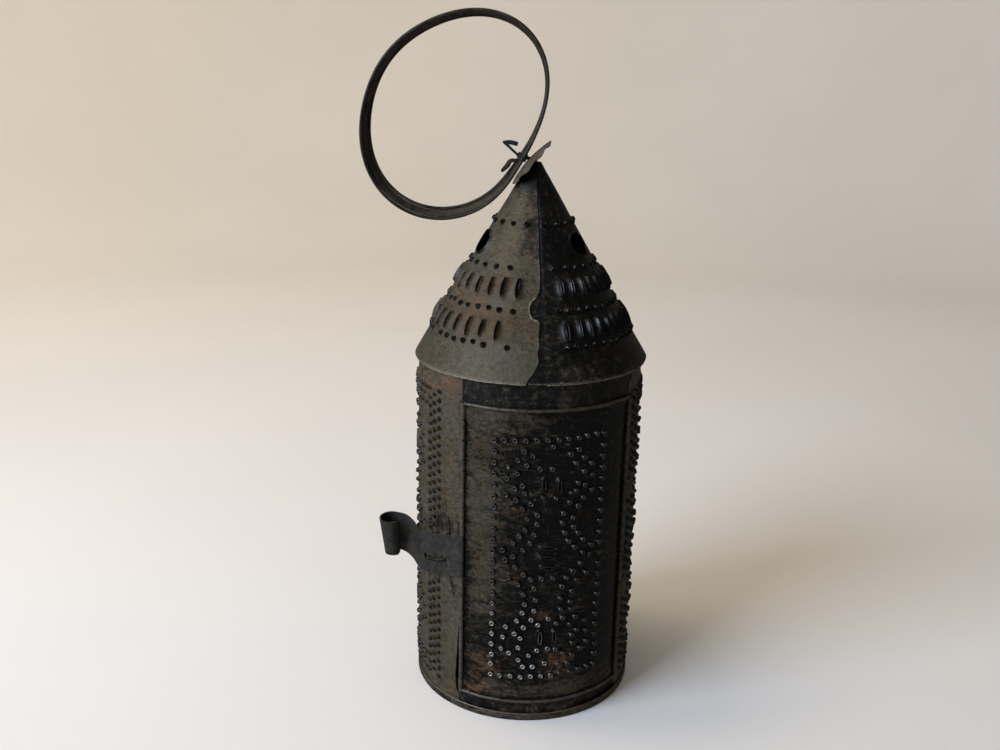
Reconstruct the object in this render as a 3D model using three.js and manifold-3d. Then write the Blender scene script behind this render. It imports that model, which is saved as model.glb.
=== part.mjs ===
// Punched-tin candle lantern with a hinged front door, a conical roof and a tied ring handle.
// Millimetres, +Z up. The base stands on Z = 0, the body's axis is Z and the door faces -Y.
// Bearings are degrees about Z, measured from -Y towards +X.
import * as THREE from 'three';
import { mergeVertices } from 'three/addons/utils/BufferGeometryUtils.js';
import Module from 'manifold-3d';

const wasm = await Module();
wasm.setup();

// Driving dimensions
const BODY_R = 69.7;        // outside of the body sheet and of the door sheet
const SHEET = 0.8;          // sheet thickness
const GAP = 0.35;           // clearance between pieces
const BODY_TOP = 221.8;
const ARM_R = BODY_R - SHEET - GAP;   // outside of the body's inner lap, behind the door
const ARM_LOW = 17;
const ARM_HIGH = 199;
const LAP_LEFT = -62;
const LAP_RIGHT = 56;
const PIN_R = 70.3;         // circle on which both door pins stand
const PIN = 0.6;            // radius of a pin wire
const BORE = 0.9;           // inside of a rolled edge or knuckle
const ROLL = 1.4;           // outside of a rolled edge or knuckle
const LATCH_PIN = -45.8;    // bearings of the two pins
const HINGE_PIN = 46.4;
const DOOR_LOW = 12.2;
const DOOR_HIGH = 203.8;
const STRAP_H = 12;
const STRAP_Z = [142, 75];
const ROOF_R = 72.3;
const ROOF_Z = 219.9;
const TIP_R = 3.6;
const TIP_Z = 337.2;
const VENT_R = 5.8;
const VENT_BEARINGS = [-85, 46, 160.5];
const HASP_R = 71.25;
const HASP_T = 0.7;
const HASP_H = 27;
const HASP_Z = 105.5;
const HASP_FALL = 0.29;     // drop of the hasp per millimetre along the body
const HASP_SIDE = 13;       // bearing offset between the hasp's own frame and the door's
const PIVOT_Z = 338.7;      // top bar of the apex staple
const LEAN = 48.6;          // tilt of the heat shield away from level
const SHIELD_R = 17.4;
const SHIELD_SLIP = 2.9;    // how far the shield has slipped down its slope
const RING_HALF = 3.7;      // from the middle of the ring's strap to each edge wire
const RING_WIRE = 1;
const STEP = 5;             // facet angle of the cylinders

const rad = (deg) => deg * Math.PI / 180;

const tin = { color: 0x2b2824, roughness: 0.5, metalness: 0.75 };
const wornTin = { color: 0x4a443c, roughness: 0.55, metalness: 0.7 };
const darkWire = { color: 0x26221e, roughness: 0.55, metalness: 0.8 };
const wax = { color: 0xe6dcc0, roughness: 0.6, metalness: 0 };
const cotton = { color: 0x3a342c, roughness: 0.95, metalness: 0 };

const group = new THREE.Group();
group.name = 'candle_lantern';

// Point at a bearing on a circle about the body's axis
function at(r, bearing, z) {
  return new THREE.Vector3(r * Math.sin(rad(bearing)), -r * Math.cos(rad(bearing)), z);
}

function weld(geometry) {
  const g = geometry.clone();
  g.deleteAttribute('normal');
  g.deleteAttribute('uv');
  return mergeVertices(g, 1e-4);
}

// Reverse the triangles of a solid whose faces point inwards
function outward(geometry) {
  const g = weld(geometry);
  const p = g.attributes.position;
  const index = g.index.array;
  const a = new THREE.Vector3();
  const b = new THREE.Vector3();
  const c = new THREE.Vector3();
  let volume = 0;
  for (let i = 0; i < index.length; i += 3) {
    a.fromBufferAttribute(p, index[i]);
    b.fromBufferAttribute(p, index[i + 1]);
    c.fromBufferAttribute(p, index[i + 2]);
    volume += a.dot(b.cross(c));
  }
  if (volume < 0) {
    for (let i = 0; i < index.length; i += 3) {
      [index[i], index[i + 1]] = [index[i + 1], index[i]];
    }
  }
  return g;
}

function solid(geometry) {
  const g = outward(geometry);
  return new wasm.Manifold(new wasm.Mesh({
    numProp: 3,
    vertProperties: new Float32Array(g.attributes.position.array),
    triVerts: new Uint32Array(g.index.array),
  }));
}

function surface(manifold) {
  const mesh = manifold.getMesh();
  const g = new THREE.BufferGeometry();
  g.setAttribute('position', new THREE.BufferAttribute(new Float32Array(mesh.vertProperties), 3));
  g.setIndex(new THREE.BufferAttribute(new Uint32Array(mesh.triVerts), 1));
  return g;
}

function join(...solids) {
  return solids.reduce((whole, next) => whole.add(next));
}

function add(name, geometry, look) {
  const g = outward(geometry);
  g.computeVertexNormals();
  const mesh = new THREE.Mesh(g, new THREE.MeshStandardMaterial(look));
  mesh.name = name;
  group.add(mesh);
}

// Upright prism over an outline of plan points
function prism(points, z0, z1, levels = 1) {
  const shape = new THREE.Shape(points.map((p) => new THREE.Vector2(p.x, p.y)));
  const g = new THREE.ExtrudeGeometry(shape, { depth: z1 - z0, steps: levels, bevelEnabled: false });
  g.translate(0, 0, z0);
  return g;
}

// Curved plate between two radii, two bearings and two heights
function sector(r0, r1, b0, b1, z0, z1) {
  const bearings = [b0];
  for (let b = Math.ceil((b0 + 0.5) / STEP) * STEP; b < b1 - 0.5; b += STEP) {
    bearings.push(b);
  }
  bearings.push(b1);
  const outer = bearings.map((b) => at(r1, b, 0));
  const inner = bearings.map((b) => at(r0, b, 0)).reverse();
  return prism([...outer, ...inner], z0, z1);
}

// Body of revolution about Z from a closed profile of [radius, height] pairs
function turned(profile, segments) {
  const points = profile.map(([r, z]) => new THREE.Vector2(r, z));
  const g = new THREE.LatheGeometry(points, segments);
  g.rotateX(Math.PI / 2);
  return g;
}

// Tube or rod standing on a pin's axis
function upright(r0, r1, bearing, z0, z1) {
  const centre = at(PIN_R, bearing, 0);
  const profile = r0 > 0
    ? [[r0, z0], [r1, z0], [r1, z1], [r0, z1], [r0, z0]]
    : [[0, z0], [r1, z0], [r1, z1], [0, z1]];
  const g = turned(profile, 12);
  g.translate(centre.x, centre.y, 0);
  return g;
}

// Round wire along a smooth path
function wire(points, radius, steps) {
  const path = new THREE.CatmullRomCurve3(points, false, 'centripetal');
  const section = new THREE.Shape();
  section.absarc(0, 0, radius, 0, 2 * Math.PI, false);
  return new THREE.ExtrudeGeometry(section, {
    steps, extrudePath: path, curveSegments: 4, bevelEnabled: false,
  });
}

// Flat strap between two points of the handle's plane; its width runs across that plane
function strap(from, to, width, thickness) {
  const length = from.distanceTo(to);
  const g = new THREE.BoxGeometry(length, width, thickness);
  g.rotateY(-Math.atan2(to.z - from.z, to.x - from.x));
  g.translate((from.x + to.x) / 2, (from.y + to.y) / 2, (from.z + to.z) / 2);
  return g;
}

// Base pan: flat disc with a turned-up rim that the body stands in
add('base_pan', turned([
  [0, 0], [70.3, 0], [71, 0.8], [71, 4.4], [70.5, 5], [70.1, 4.6], [70.1, 1], [0, 1],
], 72), wornTin);

// Body shell: one sheet bent round, its two ends lapping inwards behind the door
const stileLeft = LATCH_PIN - 1.45;
const stileRight = HINGE_PIN + 1.45;
const bodyFoot = 1 + GAP;
const body = join(
  solid(sector(BODY_R - SHEET, BODY_R, stileRight, 360 + stileLeft, bodyFoot, BODY_TOP)),
  solid(sector(ARM_R - SHEET, BODY_R, LAP_LEFT, stileLeft, bodyFoot, BODY_TOP)),
  solid(sector(ARM_R - SHEET, BODY_R, stileRight, LAP_RIGHT, bodyFoot, BODY_TOP)),
  solid(sector(ARM_R - SHEET, ARM_R, LAP_LEFT + 2, LAP_RIGHT - 2, bodyFoot, ARM_LOW)),
  solid(sector(ARM_R - SHEET, ARM_R, LAP_LEFT + 2, LAP_RIGHT - 2, ARM_HIGH, BODY_TOP)),
);
add('body_shell', surface(body), tin);

// Candle socket: short tube on a flange, on the middle of the pan
add('candle_socket', turned([
  [0, 1.35], [16, 1.35], [16, 2.15], [11.8, 2.15], [11.8, 27], [11, 27], [11, 2.2], [0, 2.2],
], 28), wornTin);

// Candle with a hole for its wick
add('candle', turned([
  [0, 2.55], [10.4, 2.55], [10.4, 103.4], [9.4, 104.6], [1.3, 103.2], [1.3, 98], [0, 98],
], 24), wax);
add('wick', turned([[0, 98.35], [0.9, 98.35], [0.7, 111.2], [0, 111.2]], 8), cotton);

// Roof cone with a hemmed brim, an open tip and three collared vents
const run = (ROOF_R - TIP_R) / (TIP_Z - ROOF_Z);
const slope = Math.atan(run);
const wall = SHEET / Math.cos(slope);
let roof = solid(turned([
  [TIP_R, TIP_Z], [ROOF_R, ROOF_Z], [72.6, 219.2], [72, 218.7], [ROOF_R - wall, ROOF_Z],
  [TIP_R - wall, TIP_Z], [TIP_R, TIP_Z],
], 72));
const ventSlant = 0.4;
for (const bearing of VENT_BEARINGS) {
  const centre = at(TIP_R + ventSlant * (ROOF_R - TIP_R), bearing, TIP_Z - ventSlant * (TIP_Z - ROOF_Z));
  const normal = at(Math.cos(slope), bearing, Math.sin(slope));
  const turn = new THREE.Quaternion().setFromUnitVectors(new THREE.Vector3(0, 1, 0), normal);
  const place = (radius, low, high) => {
    const g = new THREE.CylinderGeometry(radius, radius, high - low, 18);
    g.translate(0, (high + low) / 2, 0);
    g.applyQuaternion(turn);
    g.translate(centre.x, centre.y, centre.z);
    return solid(g);
  };
  roof = roof.add(place(VENT_R + 0.9, -1.7, 1.2)).subtract(place(VENT_R, -6, 6));
}
add('roof_cone', surface(roof), tin);

// Door: curved sheet with beaded ends and rolled sides that turn on the two pins
const haspLow = HASP_Z - HASP_H / 2;
const haspHigh = HASP_Z + HASP_H / 2;
const strapSpans = STRAP_Z.map((z) => [z - STRAP_H / 2, z + STRAP_H / 2]);
const sides = [
  { pin: LATCH_PIN, inward: 1, knuckles: [[haspLow, haspHigh]] },
  { pin: HINGE_PIN, inward: -1, knuckles: strapSpans },
];
let door = solid(sector(
  BODY_R - SHEET, BODY_R, LATCH_PIN + 0.82, HINGE_PIN - 0.82, DOOR_LOW, DOOR_HIGH,
));
for (const z of [DOOR_LOW + 0.7, DOOR_HIGH - 0.4]) {
  const bead = new THREE.TorusGeometry(70, 1.1, 7, 72);
  bead.translate(0, 0, z);
  const wedge = sector(66, 74, LATCH_PIN + 0.82, HINGE_PIN - 0.82, z - 3, z + 3);
  door = door.add(solid(bead).intersect(solid(wedge)));
}
for (const side of sides) {
  door = door.add(solid(upright(BORE, ROLL, side.pin, DOOR_LOW, DOOR_HIGH)));
  for (const [low, high] of side.knuckles) {
    const far = side.pin + side.inward * 1.5;
    const near = side.pin - side.inward * 1.5;
    door = door.subtract(solid(sector(
      66, 74, Math.min(near, far), Math.max(near, far), low - GAP, high + GAP,
    )));
  }
}
add('door_panel', surface(door), tin);
add('door_hinge_pin', upright(0, PIN, HINGE_PIN, DOOR_LOW + 0.2, DOOR_HIGH - 0.2), darkWire);
add('hasp_pin', upright(0, PIN, LATCH_PIN, DOOR_LOW + 0.2, DOOR_HIGH - 0.2), darkWire);

// Hinge straps: a knuckle round the hinge pin and a tail laid on the body
['upper', 'lower'].forEach((place, i) => {
  const [low, high] = strapSpans[i];
  const knuckle = solid(upright(BORE, ROLL, HINGE_PIN, low, high));
  const tail = solid(sector(BODY_R + GAP, BODY_R + GAP + 0.6, HINGE_PIN + 0.85, HINGE_PIN + 10.5, low, high));
  add(`hinge_strap_${place}`, surface(knuckle.add(tail)), wornTin);
});

// The hasp and its staple are drawn in a frame turned by HASP_SIDE, then swung into place
const swing = -rad(HASP_SIDE);
const pinHere = LATCH_PIN + HASP_SIDE;
const curlX = -88.2;
const curlY = 1.9;
const curlR = 5.2;

// The hasp runs downhill along the body, from near its pin to where it leaves the body
function fall(x, y) {
  const bearing = Math.atan2(x, -y);
  const along = Math.min(Math.max(-bearing - rad(-pinHere + 2.2), 0), rad(41));
  return -HASP_FALL * HASP_R * along;
}

function downhill(geometry) {
  const p = geometry.attributes.position;
  for (let i = 0; i < p.count; i += 1) {
    p.setZ(i, p.getZ(i) + fall(p.getX(i), p.getY(i)));
  }
  return geometry;
}

const line = [];
for (let b = pinHere - 0.8; b > -76; b -= 4.2) {
  line.push(at(HASP_R, b, 0));
}
const sweep = new THREE.CatmullRomCurve3([
  at(HASP_R, -77, 0),
  new THREE.Vector3(-73, -7.5, 0),
  new THREE.Vector3(-78.5, 1.8, 0),
  new THREE.Vector3(curlX + 2.6, curlY + curlR - 0.6, 0),
]);
line.push(...sweep.getPoints(6));
for (let a = 95; a <= 345; a += 20) {
  line.push(new THREE.Vector3(curlX + curlR * Math.cos(rad(a)), curlY + curlR * Math.sin(rad(a)), 0));
}
const sideOf = (i, offset) => {
  const before = line[Math.max(i - 1, 0)];
  const after = line[Math.min(i + 1, line.length - 1)];
  const along = after.clone().sub(before).normalize();
  return line[i].clone().add(new THREE.Vector3(-along.y, along.x, 0).multiplyScalar(offset));
};
const outline = [
  ...line.map((_, i) => sideOf(i, HASP_T / 2)),
  ...line.map((_, i) => sideOf(i, -HASP_T / 2)).reverse(),
];
const blade = prism(outline, haspLow, haspHigh, 2);

// The curl is flared: its top is wider and reaches further forward than its foot
const bladePoints = blade.attributes.position;
const backY = curlY + curlR;
for (let i = 0; i < bladePoints.count; i += 1) {
  const x = bladePoints.getX(i);
  const y = bladePoints.getY(i);
  const up = (bladePoints.getZ(i) - haspLow) / HASP_H;
  const share = THREE.MathUtils.smoothstep(-x, 79, 84);
  const wide = curlX - 1.2 * up + (x - curlX) * (1 + 0.32 * up);
  const deep = backY + (y - backY) * (1 + 0.7 * up);
  bladePoints.setX(i, THREE.MathUtils.lerp(x, wide, share));
  bladePoints.setY(i, THREE.MathUtils.lerp(y, deep, share));
}
const knuckleHere = solid(upright(BORE, ROLL, pinHere, haspLow, haspHigh));
const slotCut = downhill(sector(69, 75, -63, -41.5, HASP_Z - 5.2, HASP_Z - 0.6));
const hasp = solid(downhill(blade)).add(knuckleHere).subtract(solid(slotCut));
const haspGeometry = surface(hasp);
haspGeometry.rotateZ(swing);
add('hasp', haspGeometry, wornTin);

// Staple that stands through the hasp's slot, and the small plate under it
const stapleRun = [[-58, 70.95], [-57.2, 72.4], [-54, 72.95], [-50, 73.05], [-46.5, 72.9], [-44.4, 72.3], [-43.6, 70.95]];
const staplePath = stapleRun.map(([bearing, r]) => {
  const p = at(r, bearing, HASP_Z - 2.9);
  p.z += fall(p.x, p.y);
  return p;
});
const staple = wire(staplePath, 0.85, 14);
staple.rotateZ(swing);
add('hasp_staple', staple, darkWire);

const plate = solid(sector(BODY_R + GAP, BODY_R + GAP + 0.5, -52, -41, 96, 124))
  .add(solid(sector(BODY_R + GAP, BODY_R + GAP + 0.5, -50, -43, 123, 129)));
const plateGeometry = surface(plate);
plateGeometry.rotateZ(swing);
add('staple_plate', plateGeometry, wornTin);

// Handle: everything from here on is drawn in the ring's own plane, then turned with it
const turnHandle = (geometry) => geometry.rotateZ(-rad(13));
const pivot = new THREE.Vector3(0, 0, PIVOT_Z);

// Apex staple: a wire arch over the open tip, its legs spread inside the cone
add('apex_staple', turnHandle(wire([
  new THREE.Vector3(0, -4.4, 331.6),
  new THREE.Vector3(0, -1.95, 336),
  new THREE.Vector3(0, -1.9, 338),
  new THREE.Vector3(0, -1.3, PIVOT_Z),
  new THREE.Vector3(0, 1.3, PIVOT_Z),
  new THREE.Vector3(0, 1.9, 338),
  new THREE.Vector3(0, 1.95, 336),
  new THREE.Vector3(0, 4.4, 331.6),
], 0.5, 14)), darkWire);

// Heat shield: dished, crimped disc with a hole for the tie
const shieldSegments = 54;
const hubR = 2.9;
const hubLift = 2.6;
const dish = 2.8;
const stations = [hubR, 7, 12, SHIELD_R];
const shieldProfile = [
  ...stations.map((r) => [r, 0.4]),
  ...[...stations].reverse().map((r) => [r, -0.4]),
  [hubR, 0.4],
];
const shield = weld(turned(shieldProfile, shieldSegments));
const shieldPoints = shield.attributes.position;
for (let i = 0; i < shieldPoints.count; i += 1) {
  const x = shieldPoints.getX(i);
  const y = shieldPoints.getY(i);
  const r = Math.hypot(x, y);
  const edge = THREE.MathUtils.smoothstep(r, 9, SHIELD_R);
  const crimp = Math.cos(9 * Math.atan2(y, x) + 0.6);
  const scale = 1 + 0.035 * edge * (crimp - 1);
  const lift = hubLift - dish * (r / SHIELD_R) ** 2 + 0.6 * edge * crimp;
  shieldPoints.setXYZ(i, x * scale - SHIELD_SLIP, y * scale, shieldPoints.getZ(i) + lift);
}
shield.rotateY(-rad(LEAN));
shield.translate(pivot.x, pivot.y, pivot.z);
add('heat_shield', turnHandle(shield), wornTin);

// Ring handle: an oval hoop of strap with a wire in each edge, coned towards the front
const ringX = -48.5;
const ringZ = 363.9;
const ringRadius = (a) => 55.2
  - 2.36 * Math.cos(2 * a) + 5.95 * Math.sin(2 * a)
  - 0.43 * Math.cos(3 * a) + 1.16 * Math.sin(3 * a) - 0.69 * Math.cos(4 * a)
  - 1.2 * Math.exp(-(((a + rad(42)) / rad(22)) ** 2));
const ringCone = (a) => rad(27 + 18 * Math.cos(a - rad(225)) + 9 * Math.cos(2 * (a - rad(80))));

// Place a point given by its angle round the hoop, across the strap and out from its face
function onRing(a, across, out) {
  const cone = ringCone(a);
  const r = ringRadius(a) + across * Math.sin(cone) + out * Math.cos(cone);
  const y = -across * Math.cos(cone) + out * Math.sin(cone);
  return new THREE.Vector3(ringX + r * Math.cos(a), y, ringZ + r * Math.sin(a));
}

function hoop(profile) {
  const base = 50;
  const g = weld(turned(profile.map(([across, out]) => [base + out, across]), 64));
  const p = g.attributes.position;
  for (let i = 0; i < p.count; i += 1) {
    const x = p.getX(i);
    const y = p.getY(i);
    const q = onRing(Math.atan2(y, x), p.getZ(i), Math.hypot(x, y) - base);
    p.setXYZ(i, q.x, q.y, q.z);
  }
  return turnHandle(g);
}

const bandHalf = RING_HALF - RING_WIRE - GAP;
add('ring_band', hoop([
  [-bandHalf, -0.4], [bandHalf, -0.4], [bandHalf, 0.4], [-bandHalf, 0.4], [-bandHalf, -0.4],
]), tin);
for (const [name, middle] of [['ring_wire_front', RING_HALF], ['ring_wire_back', -RING_HALF]]) {
  const circle = [];
  for (let k = 0; k <= 6; k += 1) {
    circle.push([middle + RING_WIRE * Math.cos(k * Math.PI / 3), RING_WIRE * Math.sin(k * Math.PI / 3)]);
  }
  add(name, hoop(circle), darkWire);
}

// Handle tie: a strap looped round the staple's bar, run through the heat shield,
// collared round the ring, and left with a bent end and a straight tail
const tieAngle = rad(-31);
const tieCentre = onRing(tieAngle, 0, 0);
const acrossAxis = onRing(tieAngle, 1, 0).sub(tieCentre).normalize();
const outAxis = onRing(tieAngle, 0, 1).sub(tieCentre).normalize();
const alongAxis = acrossAxis.clone().cross(outAxis).normalize();
const tieFrame = new THREE.Matrix4().makeBasis(acrossAxis, outAxis, alongAxis).setPosition(tieCentre);
const collarBox = (w, h, d) => new THREE.BoxGeometry(w, h, d).applyMatrix4(tieFrame);
const inTie = (across, out, along) => new THREE.Vector3(across, out, along).applyMatrix4(tieFrame);
const loop = new THREE.CylinderGeometry(1.5, 1.5, 2, 12);
loop.translate(pivot.x, pivot.y, pivot.z);
const loopHole = new THREE.CylinderGeometry(0.9, 0.9, 4, 12);
loopHole.translate(pivot.x, pivot.y, pivot.z);
const webEnd = tieCentre.clone().lerp(pivot, 0.22);
const webStart = pivot.clone().lerp(tieCentre, 0.13);
webEnd.y = 0;
webStart.y = 0;
const foldTip = new THREE.Vector3(-19.5, 0, 348.3);
const foldEnd = new THREE.Vector3(-11.2, 0, 348.1);
const tailEnd = new THREE.Vector3(-20.1, 0, 331.3);
const foldStart = inTie(0, -1.8, 0.6);
const tailStart = inTie(0, -1.8, -0.6);
foldStart.y = 0;
tailStart.y = 0;
const tie = join(
  solid(collarBox(11.4, 4, 2.8)),
  solid(strap(webStart, webEnd, 2, 0.8)),
  solid(loop),
).subtract(solid(collarBox(10.1, 2.7, 6))).subtract(solid(loopHole));
const tieEnds = join(
  solid(strap(foldStart, foldTip, 2.4, 1)),
  solid(strap(foldTip, foldEnd, 2.4, 1)),
  solid(strap(tailStart, tailEnd, 2.4, 1)),
);
add('handle_tie', turnHandle(surface(tie.add(tieEnds))), darkWire);

export default group;
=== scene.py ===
import random
from math import atan, copysign, cos, dist, pi, sin
from types import SimpleNamespace

import bmesh
import bpy
import numpy as np
from mathutils import Matrix, Vector, noise
from mathutils.geometry import delaunay_2d_cdt


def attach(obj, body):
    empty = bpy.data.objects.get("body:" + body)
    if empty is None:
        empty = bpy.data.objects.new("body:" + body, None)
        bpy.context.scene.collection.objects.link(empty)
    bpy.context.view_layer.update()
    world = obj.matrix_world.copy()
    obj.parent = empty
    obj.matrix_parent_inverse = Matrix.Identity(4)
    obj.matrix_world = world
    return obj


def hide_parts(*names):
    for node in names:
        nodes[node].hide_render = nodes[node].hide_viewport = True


# Punched-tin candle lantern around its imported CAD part. Sizes below are millimetres, and
# pieces are scaled to metres as they are made. The door faces -Y; bearings are degrees about
# Z from -Y towards +X.
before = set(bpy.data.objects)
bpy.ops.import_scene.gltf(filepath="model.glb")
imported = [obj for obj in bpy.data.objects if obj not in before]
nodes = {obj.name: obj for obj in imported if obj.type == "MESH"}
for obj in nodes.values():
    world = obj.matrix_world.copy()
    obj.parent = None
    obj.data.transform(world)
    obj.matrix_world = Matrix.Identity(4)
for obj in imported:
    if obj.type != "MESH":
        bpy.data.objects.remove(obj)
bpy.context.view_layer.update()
MM = 0.001
rng = random.Random(1853)

BODY_R = 69.7  # outer face of the body and the door
ARM_R = 68.55  # face of the sheet lapped behind the door
PIN_R = 70.3
LATCH_PIN = -45.8
HINGE_PIN = 46.4
DOOR_LOW, DOOR_HIGH = 12.2, 203.8
BODY_FOOT, BODY_TOP = 1.35, 221.8
ROOF_R, ROOF_Z, TIP_R, TIP_Z = 72.3, 219.9, 3.6, 337.2
PIVOT_Z = 338.7
SIDE = -13.0  # degrees from the hasp's and handle's own frame to the door's


# ---------------------------------------------------------------- small helpers
def rad(degrees):
    return degrees * pi / 180


def at(r, bearing, z):
    return np.array([r * sin(rad(bearing)), -r * cos(rad(bearing)), z])


def smooth(x, low, high):
    t = np.clip((np.asarray(x, float) - low) / (high - low), 0, 1)
    return t * t * (3 - 2 * t)


def blob(x, y, cx, cy, rx, ry):
    """1 at the middle of an ellipse, fading to 0 at its edge."""
    return np.clip(1 - ((x - cx) / rx) ** 2 - ((y - cy) / ry) ** 2, 0, 1)


def blobs(x, y, *spots):
    """Sum of blobs, each a strength, a middle and two half sizes."""
    return sum(strength * blob(x, y, *spot) for strength, *spot in spots)


def spin(points, degrees):
    """Points turned about Z."""
    c, s = cos(rad(degrees)), sin(rad(degrees))
    p = np.asarray(points, float)
    return np.stack([c * p[..., 0] - s * p[..., 1], s * p[..., 0] + c * p[..., 1], p[..., 2]], -1)


def ripple(*where):
    """Smooth noise of -1 to 1 at a point."""
    return noise.noise(Vector(where))


def wobble(x, y, size, seed):
    """Smooth noise over plan coordinates in millimetres."""
    return np.array([ripple(a / size, b / size, seed * 7.31) for a, b in zip(x, y)])


def turns(count):
    """Angles evenly round a circle."""
    return np.arange(count) * 2 * pi / count


def add(name, data):
    """A new object in the scene."""
    obj = bpy.data.objects.new(name, data)
    bpy.context.scene.collection.objects.link(obj)
    return obj


def finish_mesh(mesh, material, angle):
    """Smooth shading with sharp edges past an angle, and one material."""
    mesh.polygons.foreach_set("use_smooth", [True] * len(mesh.polygons))
    mesh.set_sharp_from_angle(angle=rad(angle))
    mesh.materials.clear()
    mesh.materials.append(material)


def make(name, part, material, body, replaced, angle=62):
    """A piece from vertices in millimetres, faces and vertex attributes, riding on a body."""
    verts, faces, values = part
    mesh = bpy.data.meshes.new(name)
    mesh.from_pydata((np.asarray(verts) * MM).tolist(), [], faces)
    for key, numbers in values.items():
        layer = mesh.attributes.new(key, "FLOAT", "POINT")
        layer.data.foreach_set("value", np.asarray(numbers, np.float32))
    bm = bmesh.new()
    bm.from_mesh(mesh)
    bmesh.ops.recalc_face_normals(bm, faces=bm.faces)
    bm.to_mesh(mesh)
    bm.free()
    finish_mesh(mesh, material, angle)
    obj = add(name, mesh)
    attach(obj, body)
    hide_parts(*replaced)


def painted(part, **values):
    """A part with vertex attributes, each one number or one per vertex."""
    verts, faces, _ = part
    return verts, faces, {k: np.broadcast_to(v, len(verts)) for k, v in values.items()}


def merge(*parts):
    """Several (vertices, faces, values) as one."""
    verts, faces, values = [], [], {}
    start = 0
    keys = sorted({k for p in parts for k in p[2]})
    for v, f, a in parts:
        verts.append(np.asarray(v, float))
        faces += [[i + start for i in face] for face in f]
        for k in keys:
            values.setdefault(k, []).append(np.asarray(a.get(k, np.zeros(len(v))), float))
        start += len(v)
    return np.concatenate(verts), faces, {k: np.concatenate(x) for k, x in values.items()}


def loft(rings, closed=False):
    """Faces over rings of equal length: capped at both ends, or closed on itself."""
    rings = [np.asarray(r, float) for r in rings]
    n, m = len(rings), len(rings[0])
    faces = []
    for i in range(n if closed else n - 1):
        a, b = i * m, ((i + 1) % n) * m
        for j in range(m):
            k = (j + 1) % m
            faces.append([a + j, a + k, b + k, b + j])
    if not closed:
        faces.append(list(range(m))[::-1])
        faces.append(list(range((n - 1) * m, n * m)))
    return np.concatenate(rings), faces, {}


def circle(radius, z, count, wave=None):
    """Ring about Z, its radius varied by wave(angles)."""
    a = turns(count)
    r = radius + (wave(a) if wave else 0)
    return np.stack([r * np.sin(a), -r * np.cos(a), np.full(count, z)], 1)


def barrel(centre, profile, count=16):
    """Closed body of (radius, z) pairs about an upright axis."""
    a = turns(count)
    return loft([np.stack([centre[0] + r * np.cos(a), centre[1] + r * np.sin(a), np.full(count, z)], 1)
                 for r, z in profile], closed=True)


def tube(path, radius, sides=10, ends=0.6):
    """Round rod along a path, its ends tapered to a share of its radius."""
    path = np.asarray(path, float)
    radius = np.broadcast_to(radius, len(path)).copy()
    t = np.gradient(path, axis=0)
    t /= np.linalg.norm(t, axis=1)[:, None]
    up = np.array([0.0, 0, 1]) if abs(t[0][2]) < 0.9 else np.array([1.0, 0, 0])
    rings = []
    side = np.cross(t[0], up)
    side /= np.linalg.norm(side)
    angles = turns(sides)
    last = len(path) - 1
    for i, push, share in [(0, -0.5, ends)] + [(i, 0, 1) for i in range(last + 1)] + [(last, 0.5, ends)]:
        side = side - t[i] * (side @ t[i])
        side /= np.linalg.norm(side)
        other = np.cross(t[i], side)
        r = radius[i] * share
        centre = path[i] + t[i] * push * radius[i]
        rings.append(centre + r * (np.outer(np.cos(angles), side) + np.outer(np.sin(angles), other)))
    return loft(rings)


def spline(points, count):
    """Catmull-Rom curve through points, resampled evenly by length."""
    p = np.asarray(points, float)
    p = np.vstack([2 * p[0] - p[1], p, 2 * p[-1] - p[-2]])
    out = []
    for i in range(1, len(p) - 2):
        for t in np.linspace(0, 1, 24, endpoint=False):
            a, b, c, d = p[i - 1], p[i], p[i + 1], p[i + 2]
            out.append(0.5 * (2 * b + (c - a) * t + (2 * a - 5 * b + 4 * c - d) * t * t
                              + (3 * b - a - 3 * c + d) * t ** 3))
    out.append(p[-2])
    out = np.array(out)
    length = np.concatenate([[0], np.cumsum(np.linalg.norm(np.diff(out, axis=0), axis=1))])
    want = np.linspace(0, length[-1], count)
    return np.stack([np.interp(want, length, out[:, k]) for k in range(out.shape[1])], 1)


# ---------------------------------------------------------------- punched sheet
# Each punch is a set of rings from its foot to its torn rim: the shares of the punch's two
# half sizes, the share of its height, and how far the inner skin is inset and dropped.
DOT = [(1.00, 1.00, 0.00, 0.08, 0.42), (0.88, 0.88, 0.34, 0.30, 0.40), (0.71, 0.71, 0.80, 0.30, 0.36),
       (0.52, 0.52, 1.00, 0.12, 0.34), (0.30, 0.30, 0.86, 0.00, 0.30)]
LOW_DOT = [DOT[0], (0.82, 0.82, 0.58, 0.28, 0.38), (0.55, 0.55, 1.00, 0.14, 0.34), DOT[4]]
SLIT = [DOT[0], (0.94, 0.82, 0.30, 0.26, 0.40), (0.88, 0.58, 0.76, 0.26, 0.36),
        (0.83, 0.38, 1.00, 0.12, 0.34), (0.77, 0.19, 0.84, 0.00, 0.30)]
VENT = [DOT[0], (0.92, 0.92, 0.38, 0.30, 0.40), (0.85, 0.85, 0.96, 0.30, 0.34),
        (0.82, 0.82, 1.00, 0.00, 0.36), (0.79, 0.79, 0.55, -0.10, 0.20)]
KINDS = {"dot": (DOT, 12), "low": (LOW_DOT, 9), "slit": (SLIT, 18), "vent": (VENT, 28)}


def reach(p, x, y):
    """Distance from points to a punch's outline, taken as a capsule."""
    dx, dy = x - p.x, y - p.y
    c, s = cos(p.turn), sin(p.turn)
    along, over = c * dx + s * dy, -s * dx + c * dy
    spare = max(p.a - p.b, 0)
    return np.hypot(np.maximum(np.abs(along) - spare, 0), over) - p.b


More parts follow.
